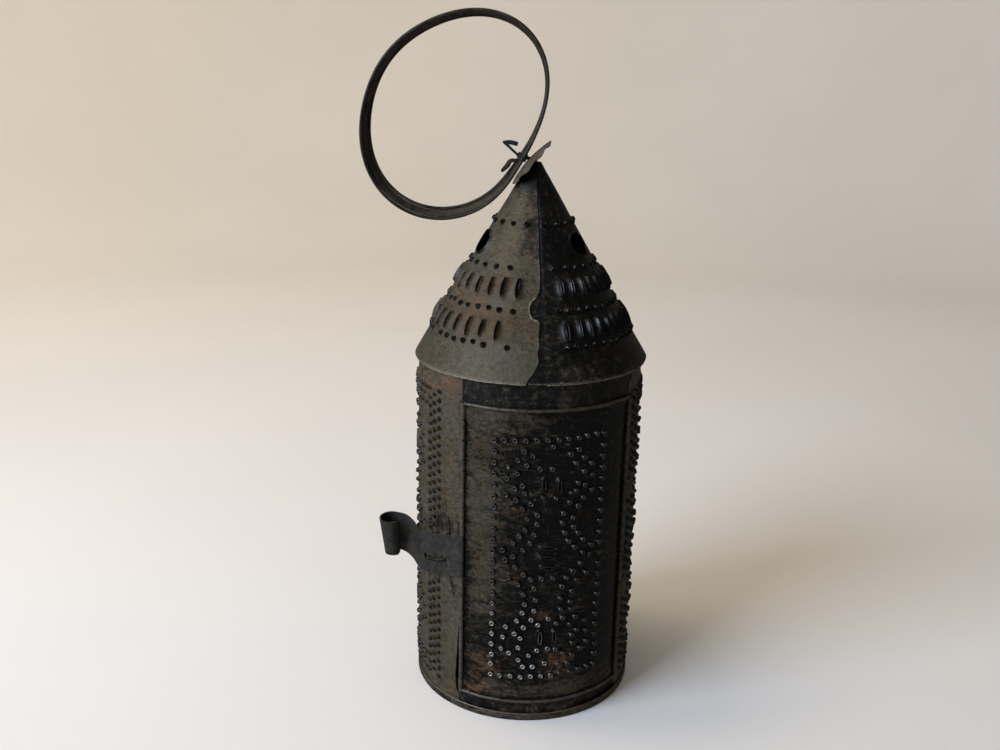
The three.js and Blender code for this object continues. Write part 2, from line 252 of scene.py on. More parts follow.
def add_punch(found, kind, x, y, a, b=None, turn=0.0, height=1.5, gap=0.1, loose=0.18):
    """Adds a punch unless it would run into one that is there."""
    b = a if b is None else b
    size = rng.uniform(0.9, 1.08)
    p = SimpleNamespace(
        kind=kind, x=x + rng.uniform(-loose, loose), y=y + rng.uniform(-loose, loose),
        a=a * size, b=b * size, turn=turn + rng.uniform(-0.05, 0.05),
        height=height * rng.uniform(0.8, 1.1), shine=rng.random())
    for q in found:
        if abs(q.x - p.x) > 20 or abs(q.y - p.y) > 20:
            continue
        spare = max(p.a - p.b, 0)
        for t in (-1, -0.5, 0, 0.5, 1):
            px = p.x + cos(p.turn) * spare * t
            py = p.y + sin(p.turn) * spare * t
            if reach(q, px, py) < p.b + gap:
                return
    found.append(p)


def resample(loop, step):
    """Closed loop with points about a step apart."""
    loop = [np.asarray(p, float) for p in loop]
    out = []
    for a, b in zip(loop, loop[1:] + loop[:1]):
        n = max(1, int(round(np.linalg.norm(b - a) / step)))
        out += [a + (b - a) * k / n for k in range(n)]
    return np.array(out)


def inside(loops, x, y):
    """Whether points are inside an outline and outside its holes, by even-odd tests."""
    kept = np.ones(len(x), bool)
    for k, loop in enumerate(loops):
        hit = np.zeros(len(x), bool)
        for (x0, y0), (x1, y1) in zip(loop, np.roll(loop, -1, axis=0)):
            if y0 != y1:
                hit ^= ((y0 > y) != (y1 > y)) & (x < (x1 - x0) * (y - y0) / (y1 - y0) + x0)
        kept &= hit if k == 0 else ~hit
    return kept


def filling(loops, punches, lines, grid):
    """Staggered grid and points along fold lines, clear of the outline and the punches."""
    low, high = loops[0].min(0), loops[0].max(0)
    row = grid * 0.866
    points = []
    for i, y in enumerate(np.arange(low[1] + row / 2, high[1], row)):
        points += [(x, y) for x in np.arange(low[0] + grid * (0.25 + 0.5 * (i % 2)), high[0], grid)]
    for a, b in lines:
        n = max(1, int(dist(a, b) / 2.2))
        points += [(a[0] + (b[0] - a[0]) * t / n, a[1] + (b[1] - a[1]) * t / n) for t in range(n)]
    x, y = np.array(points).T
    keep = inside(loops, x, y)
    for e in np.concatenate(loops):
        keep &= np.hypot(x - e[0], y - e[1]) > grid * 0.42
    for p in punches:
        near = (np.abs(x - p.x) < p.a + 2) & (np.abs(y - p.y) < p.a + 2) & keep
        where = np.nonzero(near)[0]
        keep[where[reach(p, x[where], y[where]) < 0.75]] = False
    return np.stack([x[keep], y[keep]], 1)


def ring_of(k, p, sa=1.0, sb=1.0):
    """Ring round punch k in its own axes; every second punch starts half a step on."""
    sides = KINDS[p.kind][1]
    angles = [2 * pi * (j + 0.5 * (k % 2)) / sides for j in range(sides)]
    return [(p.a * sa * cos(t), p.b * sb * sin(t)) for t in angles]


def on_sheet(p, u, v, drift=(0, 0)):
    """Sheet coordinates of a point in a punch's own axes."""
    c, s = cos(p.turn), sin(p.turn)
    return p.x + drift[0] + c * u - s * v, p.y + drift[1] + s * u + c * v


def punch_rows(k, p):
    """Vertex rows of one punch, ring by ring: outer x, y, h, inner x, y, h, punch, shine."""
    rings = KINDS[p.kind][0]
    drift = (rng.uniform(-0.12, 0.12), rng.uniform(-0.12, 0.12))
    rows = []
    for level, (sa, sb, rise, inset, drop) in enumerate(rings):
        moved = (drift[0] * rise, drift[1] * rise)
        ia, ib = (max(size - inset, 0.12) / size for size in (p.a * sa, p.b * sb))
        mark = 0.95 * rise * rise if p.kind == "slit" else (0.4 + 0.6 * rise) * (level > 0)
        for u, v in ring_of(k, p, sa, sb):
            rough = 1 + (rng.uniform(-0.09, 0.09) if level > 2 else 0)
            u, v = u * rough, v * rough
            h = p.height * rise + (rng.uniform(-0.1, 0.1) if level == len(rings) - 1 else 0)
            rows.append((*on_sheet(p, u, v, moved), h, *on_sheet(p, u * ia, v * ib, moved), h - drop,
                         mark, p.shine))
    return rows


def sheet(border, place, punches=(), holes=(), bend=None, paint=None, grid=4.0, thick=0.45, top=0.0,
          lines=()):
    """Thin closed sheet over an outline in its own flat coordinates, with real punches.
    place(x, y, h) puts flat points into space, h above the sheet's nominal face."""
    loops = [resample(border, grid * 0.62)] + [resample(h, grid * 0.5) for h in holes]
    feet = [[on_sheet(p, u, v) for u, v in ring_of(k, p)] for k, p in enumerate(punches)]
    points, owner, edges, starts = [], [], [], []
    for k, loop in enumerate(loops + feet, -len(loops)):
        n, count = len(points), len(loop)
        starts.append(n)
        points += [tuple(q) for q in loop]
        owner += [k] * count
        edges += [(n + i, n + (i + 1) % count) for i in range(count)]
    fill = filling(loops, punches, lines, grid)
    flat = np.concatenate([np.array(points), fill])
    owner = np.array(owner + [-1] * len(fill))
    made = delaunay_2d_cdt([Vector(p) for p in flat], edges, [], 0, 1e-5, True)
    back = [o[0] if o else -1 for o in made[3]]
    tris = np.array([[back[i] for i in f] for f in made[2] if all(back[i] >= 0 for i in f)])
    middle = flat[tris].mean(1)
    own = owner[tris]
    under_punch = (own[:, 0] >= 0) & (own[:, 0] == own[:, 1]) & (own[:, 1] == own[:, 2])
    tris = tris[inside(loops, middle[:, 0], middle[:, 1]) & ~under_punch]
    a, b, c = flat[tris[:, 0]], flat[tris[:, 1]], flat[tris[:, 2]]
    area = (b[:, 0] - a[:, 0]) * (c[:, 1] - a[:, 1]) - (b[:, 1] - a[:, 1]) * (c[:, 0] - a[:, 0])
    tris[area < 0] = tris[area < 0][:, ::-1]
    rows = [(x, y, 0, x, y, -thick, 0, 0) for x, y in flat]
    faces = tris.tolist()
    for k, (p, before) in enumerate(zip(punches, starts[len(loops):])):
        sides = KINDS[p.kind][1]
        made_rows = punch_rows(k, p)
        rows[before:before + sides] = made_rows[:sides]
        for now in range(len(rows), len(rows) + len(made_rows) - sides, sides):
            faces += [[before + j, before + (j + 1) % sides, now + (j + 1) % sides, now + j]
                      for j in range(sides)]
            before = now
        rows += made_rows[sides:]
    rows = np.array(rows, float)
    n = len(rows)
    x, y = rows[:, 0], rows[:, 1]
    lift = top + (bend(x, y) if bend else 0)
    outer = place(x, y, rows[:, 2] + lift)
    inner = place(rows[:, 3], rows[:, 4], rows[:, 5] + lift)
    sides_used = dict.fromkeys((i, j) for f in faces for i, j in zip(f, f[1:] + f[:1]))
    skin = faces + [[i + n for i in f[::-1]] for f in faces]
    skin += [[j, i, i + n, j + n] for i, j in sides_used if (j, i) not in sides_used]
    edge = np.zeros(n)
    edge[:sum(len(loop) for loop in loops)] = 1
    values = {"punch": rows[:, 6], "shine": rows[:, 7], **(paint(x, y) if paint else {})}
    values["edge"] = edge * values.pop("rim", 0.5)
    # vertices that no face uses, such as grid points in a punch, are left out
    seen = np.zeros(2 * n, bool)
    seen[[i for f in skin for i in f]] = True
    number = np.cumsum(seen) - 1
    skin = [[int(number[i]) for i in f] for f in skin]
    return np.concatenate([outer, inner])[seen], skin, {
        k: np.concatenate([v, v])[seen] for k, v in values.items()}


def on_cylinder(radius):
    """Places flat points of the body's or the door's sheet round Z."""
    def place(x, y, h):
        b = x / BODY_R
        r = radius + h
        return np.stack([r * np.sin(b), -r * np.cos(b), y], 1)
    return place


def arc(bearing):
    """Flat x of a bearing on the body."""
    return BODY_R * rad(bearing)


def bearing_at(x):
    """Bearing of a flat x on the body."""
    return x / BODY_R * 180 / pi


# ---------------------------------------------------------------- materials
class Graph:
    """Node graph of one material."""

    def __init__(self, name):
        self.material = bpy.data.materials.new(name)
        self.material.use_nodes = True
        self.tree = self.material.node_tree
        self.tree.nodes.clear()
        self.out = self.node("OutputMaterial")
        self.shader = self.node("BsdfPrincipled")
        self.tree.links.new(self.shader.outputs[0], self.out.inputs[0])
        self.coord = self.node("TexCoord").outputs["Object"]

    def node(self, kind, inputs=(), **settings):
        n = self.tree.nodes.new("ShaderNode" + kind)
        for k, v in settings.items():
            setattr(n, k, v)
        for k, v in dict(inputs).items():
            self.feed(n.inputs[k], v)
        return n

    def feed(self, socket, value):
        if isinstance(value, bpy.types.NodeSocket):
            self.tree.links.new(value, socket)
        else:
            socket.default_value = value

    def noise(self, scale, detail=5, rough=0.6, stretch=(1, 1, 1), distort=0.0, shift=(0, 0, 0)):
        place = self.node("Mapping", {"Vector": self.coord, "Scale": stretch, "Location": shift})
        return self.node("TexNoise", {"Vector": place.outputs[0], "Scale": scale, "Detail": detail,
                                      "Roughness": rough, "Distortion": distort}).outputs[0]

    def attribute(self, name):
        return self.node("Attribute", attribute_name=name).outputs["Fac"]

    def math(self, kind, a, b, clamp=False):
        return self.node("Math", {0: a, 1: b}, operation=kind, use_clamp=clamp).outputs[0]

    def times(self, a, b, clamp=False):
        return self.math("MULTIPLY", a, b, clamp)

    def step(self, value, low, high, to=(0.0, 1.0)):
        """Smooth rise between two values."""
        ends = {"Value": value, "From Min": low, "From Max": high, "To Min": to[0], "To Max": to[1]}
        return self.node("MapRange", ends, interpolation_type="SMOOTHSTEP").outputs["Result"]

    def sum(self, *terms):
        """Weighted sum of (socket, weight) pairs and plain numbers."""
        total = None
        for term in terms:
            item = self.times(*term) if isinstance(term, tuple) else term
            total = item if total is None else self.math("ADD", total, item)
        return total

    def mix(self, a, b, share):
        a, b = ((*c, 1) if isinstance(c, tuple) else c for c in (a, b))
        return self.node("Mix", {"Factor": share, 6: a, 7: b}, data_type="RGBA").outputs[2]

    def bump(self, height, strength, distance):
        n = self.node("Bump", {"Strength": strength, "Distance": distance, "Height": height})
        self.set(Normal=n.outputs[0])

    def set(self, **values):
        for k, v in values.items():
            self.feed(self.shader.inputs[k.replace("_", " ")], v)


def japanned(name, black=(0.0036, 0.0036, 0.0036), brown=(0.064, 0.046, 0.026),
             olive=(0.062, 0.057, 0.039), bare=(0.17, 0.15, 0.115), cap=(0.006, 0.006, 0.006),
             worn=0.0, rusty=0.0, gloss=0.36, spec=0.25, stretch=(1, 1, 3.2), grain=1.0, seed=0.0):
    """Old black varnish on tin: worn to brown and olive in streaks, rusty in spots, bare at
    its edges, with painted glints on punch crowns. The attributes worn, rust, punch, shine, edge
    and fresh say where; fresh marks the painted glints, and worn also carries some painted light
    and shade."""
    g = Graph(name)
    s = (seed, seed * 1.7, seed * 0.6)
    big = g.noise(24, 4, 0.55, shift=s)
    streak = g.noise(70, 9, 0.7, stretch=stretch, distort=0.8, shift=s)
    flake = g.noise(300, 7, 0.72, stretch=(1, 1, 1.6), distort=0.5, shift=s)
    fine = g.noise(1500, 4, 0.65, shift=s)
    scratch = g.noise(150, 3, 0.5, stretch=(9, 9, 0.45), distort=0.3, shift=s)
    punch, edge, shine, fresh, rust_here, worn_here = (
        g.attribute(k) for k in ("punch", "edge", "shine", "fresh", "rust", "worn"))
    capped = g.step(g.sum((punch, 1), (rust_here, -0.28)), 0.16, 0.5)
    raw = g.sum((streak, 1.15), (big, 0.5), (flake, 0.75), (fine, 0.2), (worn_here, 0.25),
                (fresh, -0.1), worn - 0.84)
    wear = g.sum((g.step(raw, 0.5, 0.6), 0.3), (g.step(raw, 0.26, 0.82), 0.7))
    wear = g.times(wear, g.step(capped, 0.0, 1.0, to=(1.0, 0.12)))
    tone = g.mix(brown, olive, g.step(g.sum((big, 0.5), (flake, 0.5)), 0.42, 0.58))
    colour = g.mix(black, tone, wear)
    colour = g.mix(colour, cap, g.step(punch, 0.72, 1.0))
    spots = g.sum((flake, 0.75), (streak, 0.6), (big, 0.2), (rust_here, 0.2), (capped, -0.05),
                  rusty - 0.3)
    spots = g.sum((g.step(spots, 0.61, 0.7), 0.5), (g.step(spots, 0.46, 0.86), 0.5))
    spots = g.times(spots, g.step(capped, 0.0, 1.0, to=(1.0, 0.25)))
    rusted = g.mix((0.15, 0.08, 0.038), (0.06, 0.0288, 0.0152), g.step(fine, 0.42, 0.58))
    colour = g.mix(colour, rusted, g.times(spots, 0.8))
    lines = g.times(g.step(scratch, 0.62, 0.68), g.step(flake, 0.42, 0.58))
    colour = g.mix(colour, tuple(c * 0.6 for c in bare), g.times(lines, 0.2))
    chips = g.step(g.sum((flake, 0.6), (fine, 0.4)), 0.38, 0.5)
    rim = g.times(g.step(edge, 0.3, 0.95), chips, clamp=True)
    colour = g.mix(colour, bare, g.times(rim, 0.85))
    # Painted glints: in the fresh zone, punch crowns are lightened towards bright metal, standing for
    # reflections of the window lamp.
    painted_glint_mask = g.times(g.step(punch, 0.8, 1.0), fresh)
    colour = g.mix(colour, (0.62, 0.61, 0.58), g.times(painted_glint_mask, 0.5))
    dirt = g.step(g.sum((fine, 0.6), (flake, 0.4)), 0.4, 0.6, to=(0.55, 1.25))
    shade = g.node("VectorMath", {0: colour, "Scale": dirt}, operation="SCALE")
    wet = g.sum((capped, 0.06), (g.times(capped, shine), 0.1), (g.times(capped, fresh), 0.1))
    rough = g.sum((wear, 0.2), (spots, 0.25), (fine, 0.16), gloss - 0.1)
    metal = g.sum((wear, 0.3), (rim, 0.4), (painted_glint_mask, 0.3), 0.03)
    g.set(Base_Color=shade.outputs[0], Roughness=g.math("SUBTRACT", rough, wet, clamp=True),
          Metallic=g.math("SUBTRACT", metal, g.times(spots, 0.35), clamp=True), Specular_IOR_Level=spec)
    height = g.sum((big, 1.2), (streak, 0.5), (flake, 0.4), (fine, 0.16), (wear, -0.16),
                   (spots, 0.25), (lines, -0.2))
    g.bump(height, 0.6 * grain, 0.0005)
    return g.material


EVEN = (1, 1, 1)
ROOF = japanned(
    "japanned_roof", black=(0.0028, 0.0028, 0.0026), brown=(0.076, 0.056, 0.031),
    olive=(0.071, 0.068, 0.047), bare=(0.36, 0.33, 0.25), worn=0.03, gloss=0.4,
    stretch=(1, 1, 1.1), seed=1.3)
BODY = japanned(
    "japanned_body", black=(0.006, 0.006, 0.006), brown=(0.085, 0.062, 0.036),
    olive=(0.083, 0.077, 0.056), cap=(0.02, 0.019, 0.017), worn=0.05, gloss=0.38, spec=0.28,
    stretch=(2.2, 2.2, 0.9), seed=2.9)
DOOR = japanned("japanned_door", black=(0.005, 0.005, 0.005), cap=(0.05, 0.049, 0.045),
                worn=-0.075, gloss=0.27, spec=0.3, seed=4.1)
PAN = japanned("japanned_pan", brown=(0.07, 0.056, 0.038), worn=0.05, rusty=0.03, gloss=0.45, seed=5.7)
HASP = japanned("worn_hasp", black=(0.024, 0.0235, 0.021), brown=(0.044, 0.04, 0.034),
                olive=(0.048, 0.048, 0.044), worn=0.02, rusty=-0.06, stretch=EVEN, seed=7.7, grain=0.6)
STRAP = japanned("worn_strap", worn=0.03, seed=8.8)
SHIELD = japanned("worn_shield", black=(0.022, 0.018, 0.015), brown=(0.09, 0.066, 0.044),
                  olive=(0.1, 0.084, 0.062), worn=0.08, rusty=0.02, gloss=0.4, stretch=EVEN, seed=9.9)
RING = japanned("worn_ring", black=(0.012, 0.01, 0.009), brown=(0.04, 0.028, 0.018),
                olive=(0.046, 0.037, 0.027), gloss=0.38, stretch=EVEN, seed=11.0, grain=0.7)
IRON = japanned("dark_iron", black=(0.014, 0.013, 0.012), brown=(0.05, 0.034, 0.023),
                olive=(0.045, 0.04, 0.033), worn=-0.02, rusty=0.02, gloss=0.42, stretch=EVEN,
                seed=12.4, grain=0.8)
SOCKET = japanned("grey_tin", black=(0.05, 0.05, 0.05), brown=(0.12, 0.105, 0.085),
                  olive=(0.16, 0.155, 0.145), worn=0.08, rusty=0.03, gloss=0.4, seed=14.2)


def wax_look():
    g = Graph("old_wax")
    cloud = g.noise(45, 5, 0.6)
    fine = g.noise(600, 3, 0.6)
    drip = g.noise(90, 3, 0.5, stretch=(2.5, 2.5, 0.35))
    tone = g.step(g.sum((cloud, 0.7), (drip, 0.3)), 0.35, 0.65)
    colour = g.mix((0.62, 0.52, 0.33), (0.8, 0.73, 0.56), tone)
    g.set(Base_Color=g.mix(colour, (0.36, 0.3, 0.2), g.step(fine, 0.62, 0.8)),
          Roughness=g.step(cloud, 0.3, 0.7, to=(0.34, 0.56)),
          Subsurface_Weight=0.25, Subsurface_Radius=(0.006, 0.004, 0.002))
    g.bump(g.sum((drip, 0.7), (fine, 0.2)), 0.4, 0.0006)
    return g.material


def cotton_look():
    g = Graph("charred_cotton")
    twist = g.node("TexWave", {"Vector": g.coord, "Scale": 420, "Distortion": 2.5},
                   wave_type="BANDS", bands_direction="DIAGONAL")
    burnt = g.noise(260, 3, 0.6)
    g.set(Base_Color=g.mix((0.02, 0.018, 0.016), (0.16, 0.13, 0.09), g.step(burnt, 0.42, 0.72)),
          Roughness=g.step(burnt, 0.3, 0.7, to=(0.75, 0.95)))
    g.bump(twist.outputs[1], 0.8, 0.0003)
    return g.material


WAX, COTTON = wax_look(), cotton_look()


# ---------------------------------------------------------------- door
def door_pattern():
    """Rim dots, slits and motif dots of the door; the motif is mirrored just left of centre."""
    left = [(-10.5, 182.5), (-17.5, 179), (-12.5, 176.5), (-21, 173.5), (-15.7, 170.7), (-26.5, 169),
            (-21.3, 165), (-27, 161.8), (-18, 158), (-22.3, 156), (-27.5, 152), (-16.5, 153.3),
            (-13, 152.5), (-21.5, 148.5), (-12.8, 146.5), (-18, 143.3), (-9, 139.7), (-15, 136.7),
            (-8.8, 133.7), (-16, 130), (-10.5, 127.2), (-19, 125.7), (-12.8, 121.5), (-22.5, 121),
            (-17, 117), (-28.7, 116), (-22.5, 112.5), (-27.3, 110), (-21.3, 105.5), (-16.3, 101.3),
            (-25, 98.5), (-12, 97.8), (-19.2, 94.5), (-9.7, 91.8), (-16, 88), (-8.8, 84.3),
            (-15.2, 81.3), (-9.1, 77.2), (-16.3, 75.4), (-10.8, 70.8), (-19.5, 70), (-15.5, 65.3),
            (-6.8, 67.5), (-26, 65.5), (-20.5, 60.8), (-17, 58), (-27.3, 58.2), (-18.3, 51.6),
            (-28.6, 50.3), (-23.7, 47.4), (-7, 49.8), (-11.8, 46.2), (-18, 43.4), (-15.2, 38.5),
            (-9.4, 38.5)]
    middle = [(-8.3, 168.4), (-1.3, 168.2), (-6.3, 150.2), (1.3, 149.8), (-0.6, 50.8), (-5.7, 98.5),
              (1.4, 98.2), (-0.5, 71), (8.6, 41.2), (-1, 182), (-2, 40.5)]
    slits = [(-5.5, 157.6, 5.8, 1.75, 90), (3.5, 157.4, 5.8, 1.75, 91), (-5.6, 58.8, 5.0, 1.7, 88),
             (3.4, 58.6, 5.0, 1.7, 92), (-2.4, 118, 5.8, 1.65, 0), (-2.6, 111.6, 5.6, 1.6, 1),
             (-2.2, 105.2, 5.4, 1.6, -1)]
    rim = [(-34.6, z) for z in np.linspace(184.6, 31.2, 23)]
    rim += [(32.4, z) for z in np.linspace(185.6, 32.4, 23)]
    rim += [(u, 186.0 + 0.02 * u) for u in np.linspace(-29, 26.8, 10)]
    rim += [(u, 31.8 + 0.02 * u) for u in np.linspace(-28.8, 26.8, 10)]
    return rim, slits, left + [(-2.6 - u, z) for u, z in left] + middle


def door_punches():
    rim, slits, motif = door_pattern()
    found = []
    for x, y, a, b, turn in slits:
        add_punch(found, "slit", x, y, a, b * 1.5, rad(turn), 2.3, loose=0.2)
    for x, y in rim:
        add_punch(found, "dot", x, y, 2.12, height=2.1)
    for x, y in motif:
        count = len(found)
        for a in (2.12, 1.95, 1.8, 1.65, 1.5):
            if len(found) == count:
                add_punch(found, "dot", x, y, a, height=a, gap=0.02)
    return found


door_left, door_right = arc(LATCH_PIN + 0.82), arc(HINGE_PIN - 0.82)
STRAP_SPANS = [(69.0, 81.0), (136.0, 148.0)]
HASP_LOW, HASP_HIGH = 92.0, 119.0


def from_sides(x):
    """Distance in from the door's nearer side."""
    return np.minimum(x - door_left, door_right - x)


def from_ends(y):
    """Distance in from the door's foot or top."""
    return np.minimum(y - 12, 204 - y)


def door_wear_and_painted_light(x, y):
    # Lighter towards the left and darker towards the right: partly wear, partly painted light and shade from
    # the lamp on the left.
    worn = 0.2 * smooth(-x, 10, 34) + 0.35 * smooth(-x, 5, 30) + 0.9 * smooth(-y, -36, -18)
    worn += smooth(-x, 26, 38) * smooth(y, 60, 150) + 0.8 * smooth(y, 186, 200) * smooth(-x, -30, 30)
    worn += blobs(x, y, (0.5, 18, 60, 26, 40), (0.6, -4, 96, 14, 12))
    # Painted shade: a black band along the rolled sides and the beaded ends, where the panel sinks beside
    # them.
    worn -= 1.6 * (1 - smooth(np.minimum(from_sides(x), from_ends(y)), 1.5, 4.0))
    # Darker over the middle and the right side: partly painted shade on the side away from the lamp.
    worn -= 0.5 * smooth(x, -14, 10) * smooth(y, 34, 50) + 0.5 * smooth(x, 18, 34)
    worn -= 0.5 * smooth(x, -37, -31) * smooth(-x, -36, -30) * smooth(y, 24, 34) * smooth(-y, -184, -176)
    rust = blobs(x, y, (1.0, -40, 36, 16, 14), (1.0, 6, 40, 13, 13), (0.9, -22, 98, 9, 6),
                 (0.8, -24, 141, 9, 5), (0.9, -46, 18, 16, 9), (0.8, -4, 72, 11, 9))
    # fresh marks the lower left, where punch crowns are painted as bright glints.
    return {"worn": np.clip(worn, -1.2, 1), "rust": np.clip(rust, 0, 1),
            "fresh": smooth(-x, -8, 10) * smooth(-y, -90, -66)}


def door_bend(x, y):
    ends = smooth(from_ends(y), 7, 14)
    sunk = -0.85 * (1 - smooth(from_sides(x), 1.2, 5.5)) * ends - 0.2 * (1 - ends)
    return 0.3 * wobble(x, y, 26, 3) * smooth(-np.abs(x), -52, -40) + sunk + 0.5 * blob(x, y, -1, 108, 36, 80)


def rolled(bearing, low, high, skip, edge):
    """Rolled sheet edge round a pin, in the lengths left between the knuckles."""
    parts = []
    for start, end in zip([low] + [b + 0.4 for _, b in skip], [a - 0.4 for a, _ in skip] + [high]):
        levels = np.linspace(start, end, max(2, int((end - start) / 8)))
        outer = [(1.3 + 0.12 * ripple(z / 14, bearing, 0), z) for z in levels]
        curl = barrel(at(PIN_R, bearing, 0), outer + [(0.9, z) for z in levels[::-1]], 14)
        parts.append(painted(curl, edge=edge, worn=0.5))
    return parts


def bead(z, seed):
    """Wired edge along the door's top or foot."""
    path = [at(70.05 + 0.16 * ripple(b / 9, seed, 0), b, z + 0.25 * ripple(b / 14, seed, 5))
            for b in np.linspace(LATCH_PIN + 0.4, HINGE_PIN - 0.4, 70)]
    return painted(tube(path, 1.0, 10, 0.7), edge=0.55, worn=0.7)


def notched_door():
    """Door outline with notches where the hasp's and the straps' knuckles stand."""
    low, high = DOOR_LOW + 0.3, DOOR_HIGH - 0.3
    inset = arc(0.62)
    points = [(door_left, low), (door_right, low)]
    for foot, top in STRAP_SPANS:
        points += [(door_right, foot - 0.4), (door_right - inset, foot - 0.4),
                   (door_right - inset, top + 0.4), (door_right, top + 0.4)]
    return points + [(door_right, high), (door_left, high), (door_left, HASP_HIGH + 0.4),
                     (door_left + inset, HASP_HIGH + 0.4), (door_left + inset, HASP_LOW - 0.4),
                     (door_left, HASP_LOW - 0.4)]


door_sheet = sheet(notched_door(), on_cylinder(BODY_R), door_punches(), bend=door_bend,
                   paint=door_wear_and_painted_light, grid=3.6)
# The latch roll's edge is set brighter than the hinge roll's: partly wear, partly a painted highlight on the
# lit left side.
door = merge(door_sheet, *rolled(LATCH_PIN, DOOR_LOW, DOOR_HIGH, [(HASP_LOW, HASP_HIGH)], 0.72),
             *rolled(HINGE_PIN, DOOR_LOW, DOOR_HIGH, STRAP_SPANS, 0.5),
             bead(DOOR_LOW + 0.9, 1), bead(DOOR_HIGH - 0.5, 2))
make("door_skin", door, DOOR, "door", ["door_panel"])

# ---------------------------------------------------------------- body
STILE_LEFT, STILE_RIGHT = LATCH_PIN - 1.45, HINGE_PIN + 1.45
HASP_R, HASP_FALL = 71.25, 0.29
PANELS = ((52.2, 129.5), (138.0, 215.5), (224.0, 297.6))
PANEL_LOW, PANEL_HIGH, COLUMN, PITCH = 14.0, 206.0, 5.0, 5.5


def hasp_drop(bearing):
    """How far the hasp has fallen at a bearing in its own frame."""
    return HASP_FALL * HASP_R * rad(np.clip(-bearing - 35, 0, 41))


def covered(x, y):
    """Whether the hasp, its staple plate or a strap lies over a place on the body."""
    bearing = bearing_at(x)
    bearing = bearing - 360 if bearing > 180 else bearing
    hasp_z = (HASP_LOW + HASP_HIGH) / 2 - hasp_drop(bearing - SIDE)
    if -96 < bearing < -40 and abs(y - hasp_z) < 16.6:
        return True
    if -66.5 < bearing < -52.5 and 93 < y < 132:
        return True
    return any(40 < bearing < 59.5 and low - 2.4 < y < high + 2.4 for low, high in STRAP_SPANS)


def panel(found, first, last):
    """One punched panel of the body between two bearings: a band of staggered dots round
    the door's motif."""
    a, b = arc(first), arc(last)
    mid, height = (a + b) / 2, PANEL_HIGH - PANEL_LOW
    _, slits, motif = door_pattern()

    def put(x, y, kind="low", size=1.8, wide=None, turn=0.0, rise=1.7, **room):
        if not covered(x, y):
            add_punch(found, kind, x, y, size, wide, turn, rise, **room)

    def raised(y):
        """Height on the panel of a height on the door."""
        return 110 + (y - 109) * 1.06

    for x, y, half, wide, turn in slits:
        put(mid + (x + 1.2), raised(y), "slit", half, wide, rad(turn), 1.6, loose=0.2)
    rows = int(height / PITCH)
    for k in range(3):
        for i in range(rows + 1):
            y = PANEL_LOW + height * (i + 0.5 * (k % 2)) / rows
            if y <= PANEL_HIGH:
                put(a + k * COLUMN, y)
                put(b - k * COLUMN, y)
    width = b - a - 6 * COLUMN
    across = int(width / PITCH)
    for k in range(3):
        for i in range(across + 1):
            x = a + 3 * COLUMN + width * (i + 0.5 * (k % 2)) / across
            put(x, PANEL_LOW + k * COLUMN)
            put(x, PANEL_HIGH - k * COLUMN)
    for x, y in motif:
        put(mid + (x + 1.3) * 0.98, raised(y), gap=0.0)


def body_bend(x, y):
    near = np.minimum(x - arc(STILE_RIGHT), arc(360 + STILE_LEFT) - x)
    tuck = -1.05 * (1 - smooth(near, 0.0, 1.1))
    dents = 0.45 * wobble(x, y, 34, 9) * smooth(near, 2, 14) * smooth(y, 4, 26) * smooth(-y, -221, -205)
    full = sum(blob(x, y, arc((a + b) / 2), 110, 0.52 * arc(b - a), 104) for a, b in PANELS)
    return tuck + dents + 0.55 * np.sqrt(np.clip(full, 0, 1))


def body_wear_and_painted_light(x, y):
    bearing = bearing_at(x)
    left = smooth(bearing, 235, 262)
    # Lighter towards the left: partly wear, partly painted light on the side facing the lamp.
    worn = left * (0.25 + 0.75 * smooth(y, 108, 150) + 0.7 * (1 - smooth(y, 60, 96)))
    worn += blobs(bearing, y, (0.45, 110, 60, 50, 60), (0.45, 190, 150, 45, 70), (0.4, 285, 20, 40, 30))
    rust = left * (0.95 * smooth(y, 196, 212) + 0.5 * smooth(y, 120, 180) * smooth(-bearing, -299, -290))
    rust += 0.6 * smooth(y, 200, 216) + 0.55 * smooth(-y, -26, -6)
    rust += blobs(bearing, y, (0.7, 150, 40, 22, 30), (0.6, 95, 180, 18, 30))
    return {"worn": np.clip(worn, 0, 1), "rust": np.clip(rust, 0, 1)}


def lap_shade_and_wear(x, y):
    # Painted shade: the lapped sheet is painted near black as shade in the recess behind the stiles, with two
    # lighter worn patches and a rusty one.
    return {"worn": -0.75 + blobs(x, y, (0.9, -34, 207, 14, 5), (0.5, -5, 6, 60, 6)),
            "rust": 0.4 * blob(x, y, -34, 207, 12, 4)}


body_found = []
for first, last in PANELS:
    panel(body_found, first, last)
right, left = arc(STILE_RIGHT), arc(360 + STILE_LEFT)
wrap = [(right, BODY_FOOT), (arc(140), BODY_FOOT), (arc(250), BODY_FOOT),
        (left - 0.2, BODY_FOOT), (left - 0.3, 8.0), (left - 2.6, 13.5), (left - 3.1, 22),
        (left - 1.7, 42), (left - 0.4, 64), (left, 90), (left, BODY_TOP),
        (arc(250), BODY_TOP), (arc(140), BODY_TOP), (right, BODY_TOP)]
folds = [[(right + 1.3, 3), (right + 1.3, 219)], [(left - 1.3, 70), (left - 1.3, 219)]]
body_sheet = sheet(wrap, on_cylinder(BODY_R), body_found, bend=body_bend, paint=body_wear_and_painted_light, grid=4.4,
                   lines=folds)
left, right = arc(STILE_LEFT), arc(STILE_RIGHT)
opening = [(left, 17), (right, 17), (right, 199), (left, 199), (left, 72), (left - 4.6, 50), (left - 4.8, 20)]
lap = [(arc(-62), BODY_FOOT), (arc(56), BODY_FOOT), (arc(56), BODY_TOP), (arc(-62), BODY_TOP)]
lap_sheet = sheet(lap, on_cylinder(ARM_R), holes=[opening[::-1]], paint=lap_shade_and_wear, grid=5.0,
                  bend=lambda x, y: 0.12 * wobble(x, y, 30, 21))
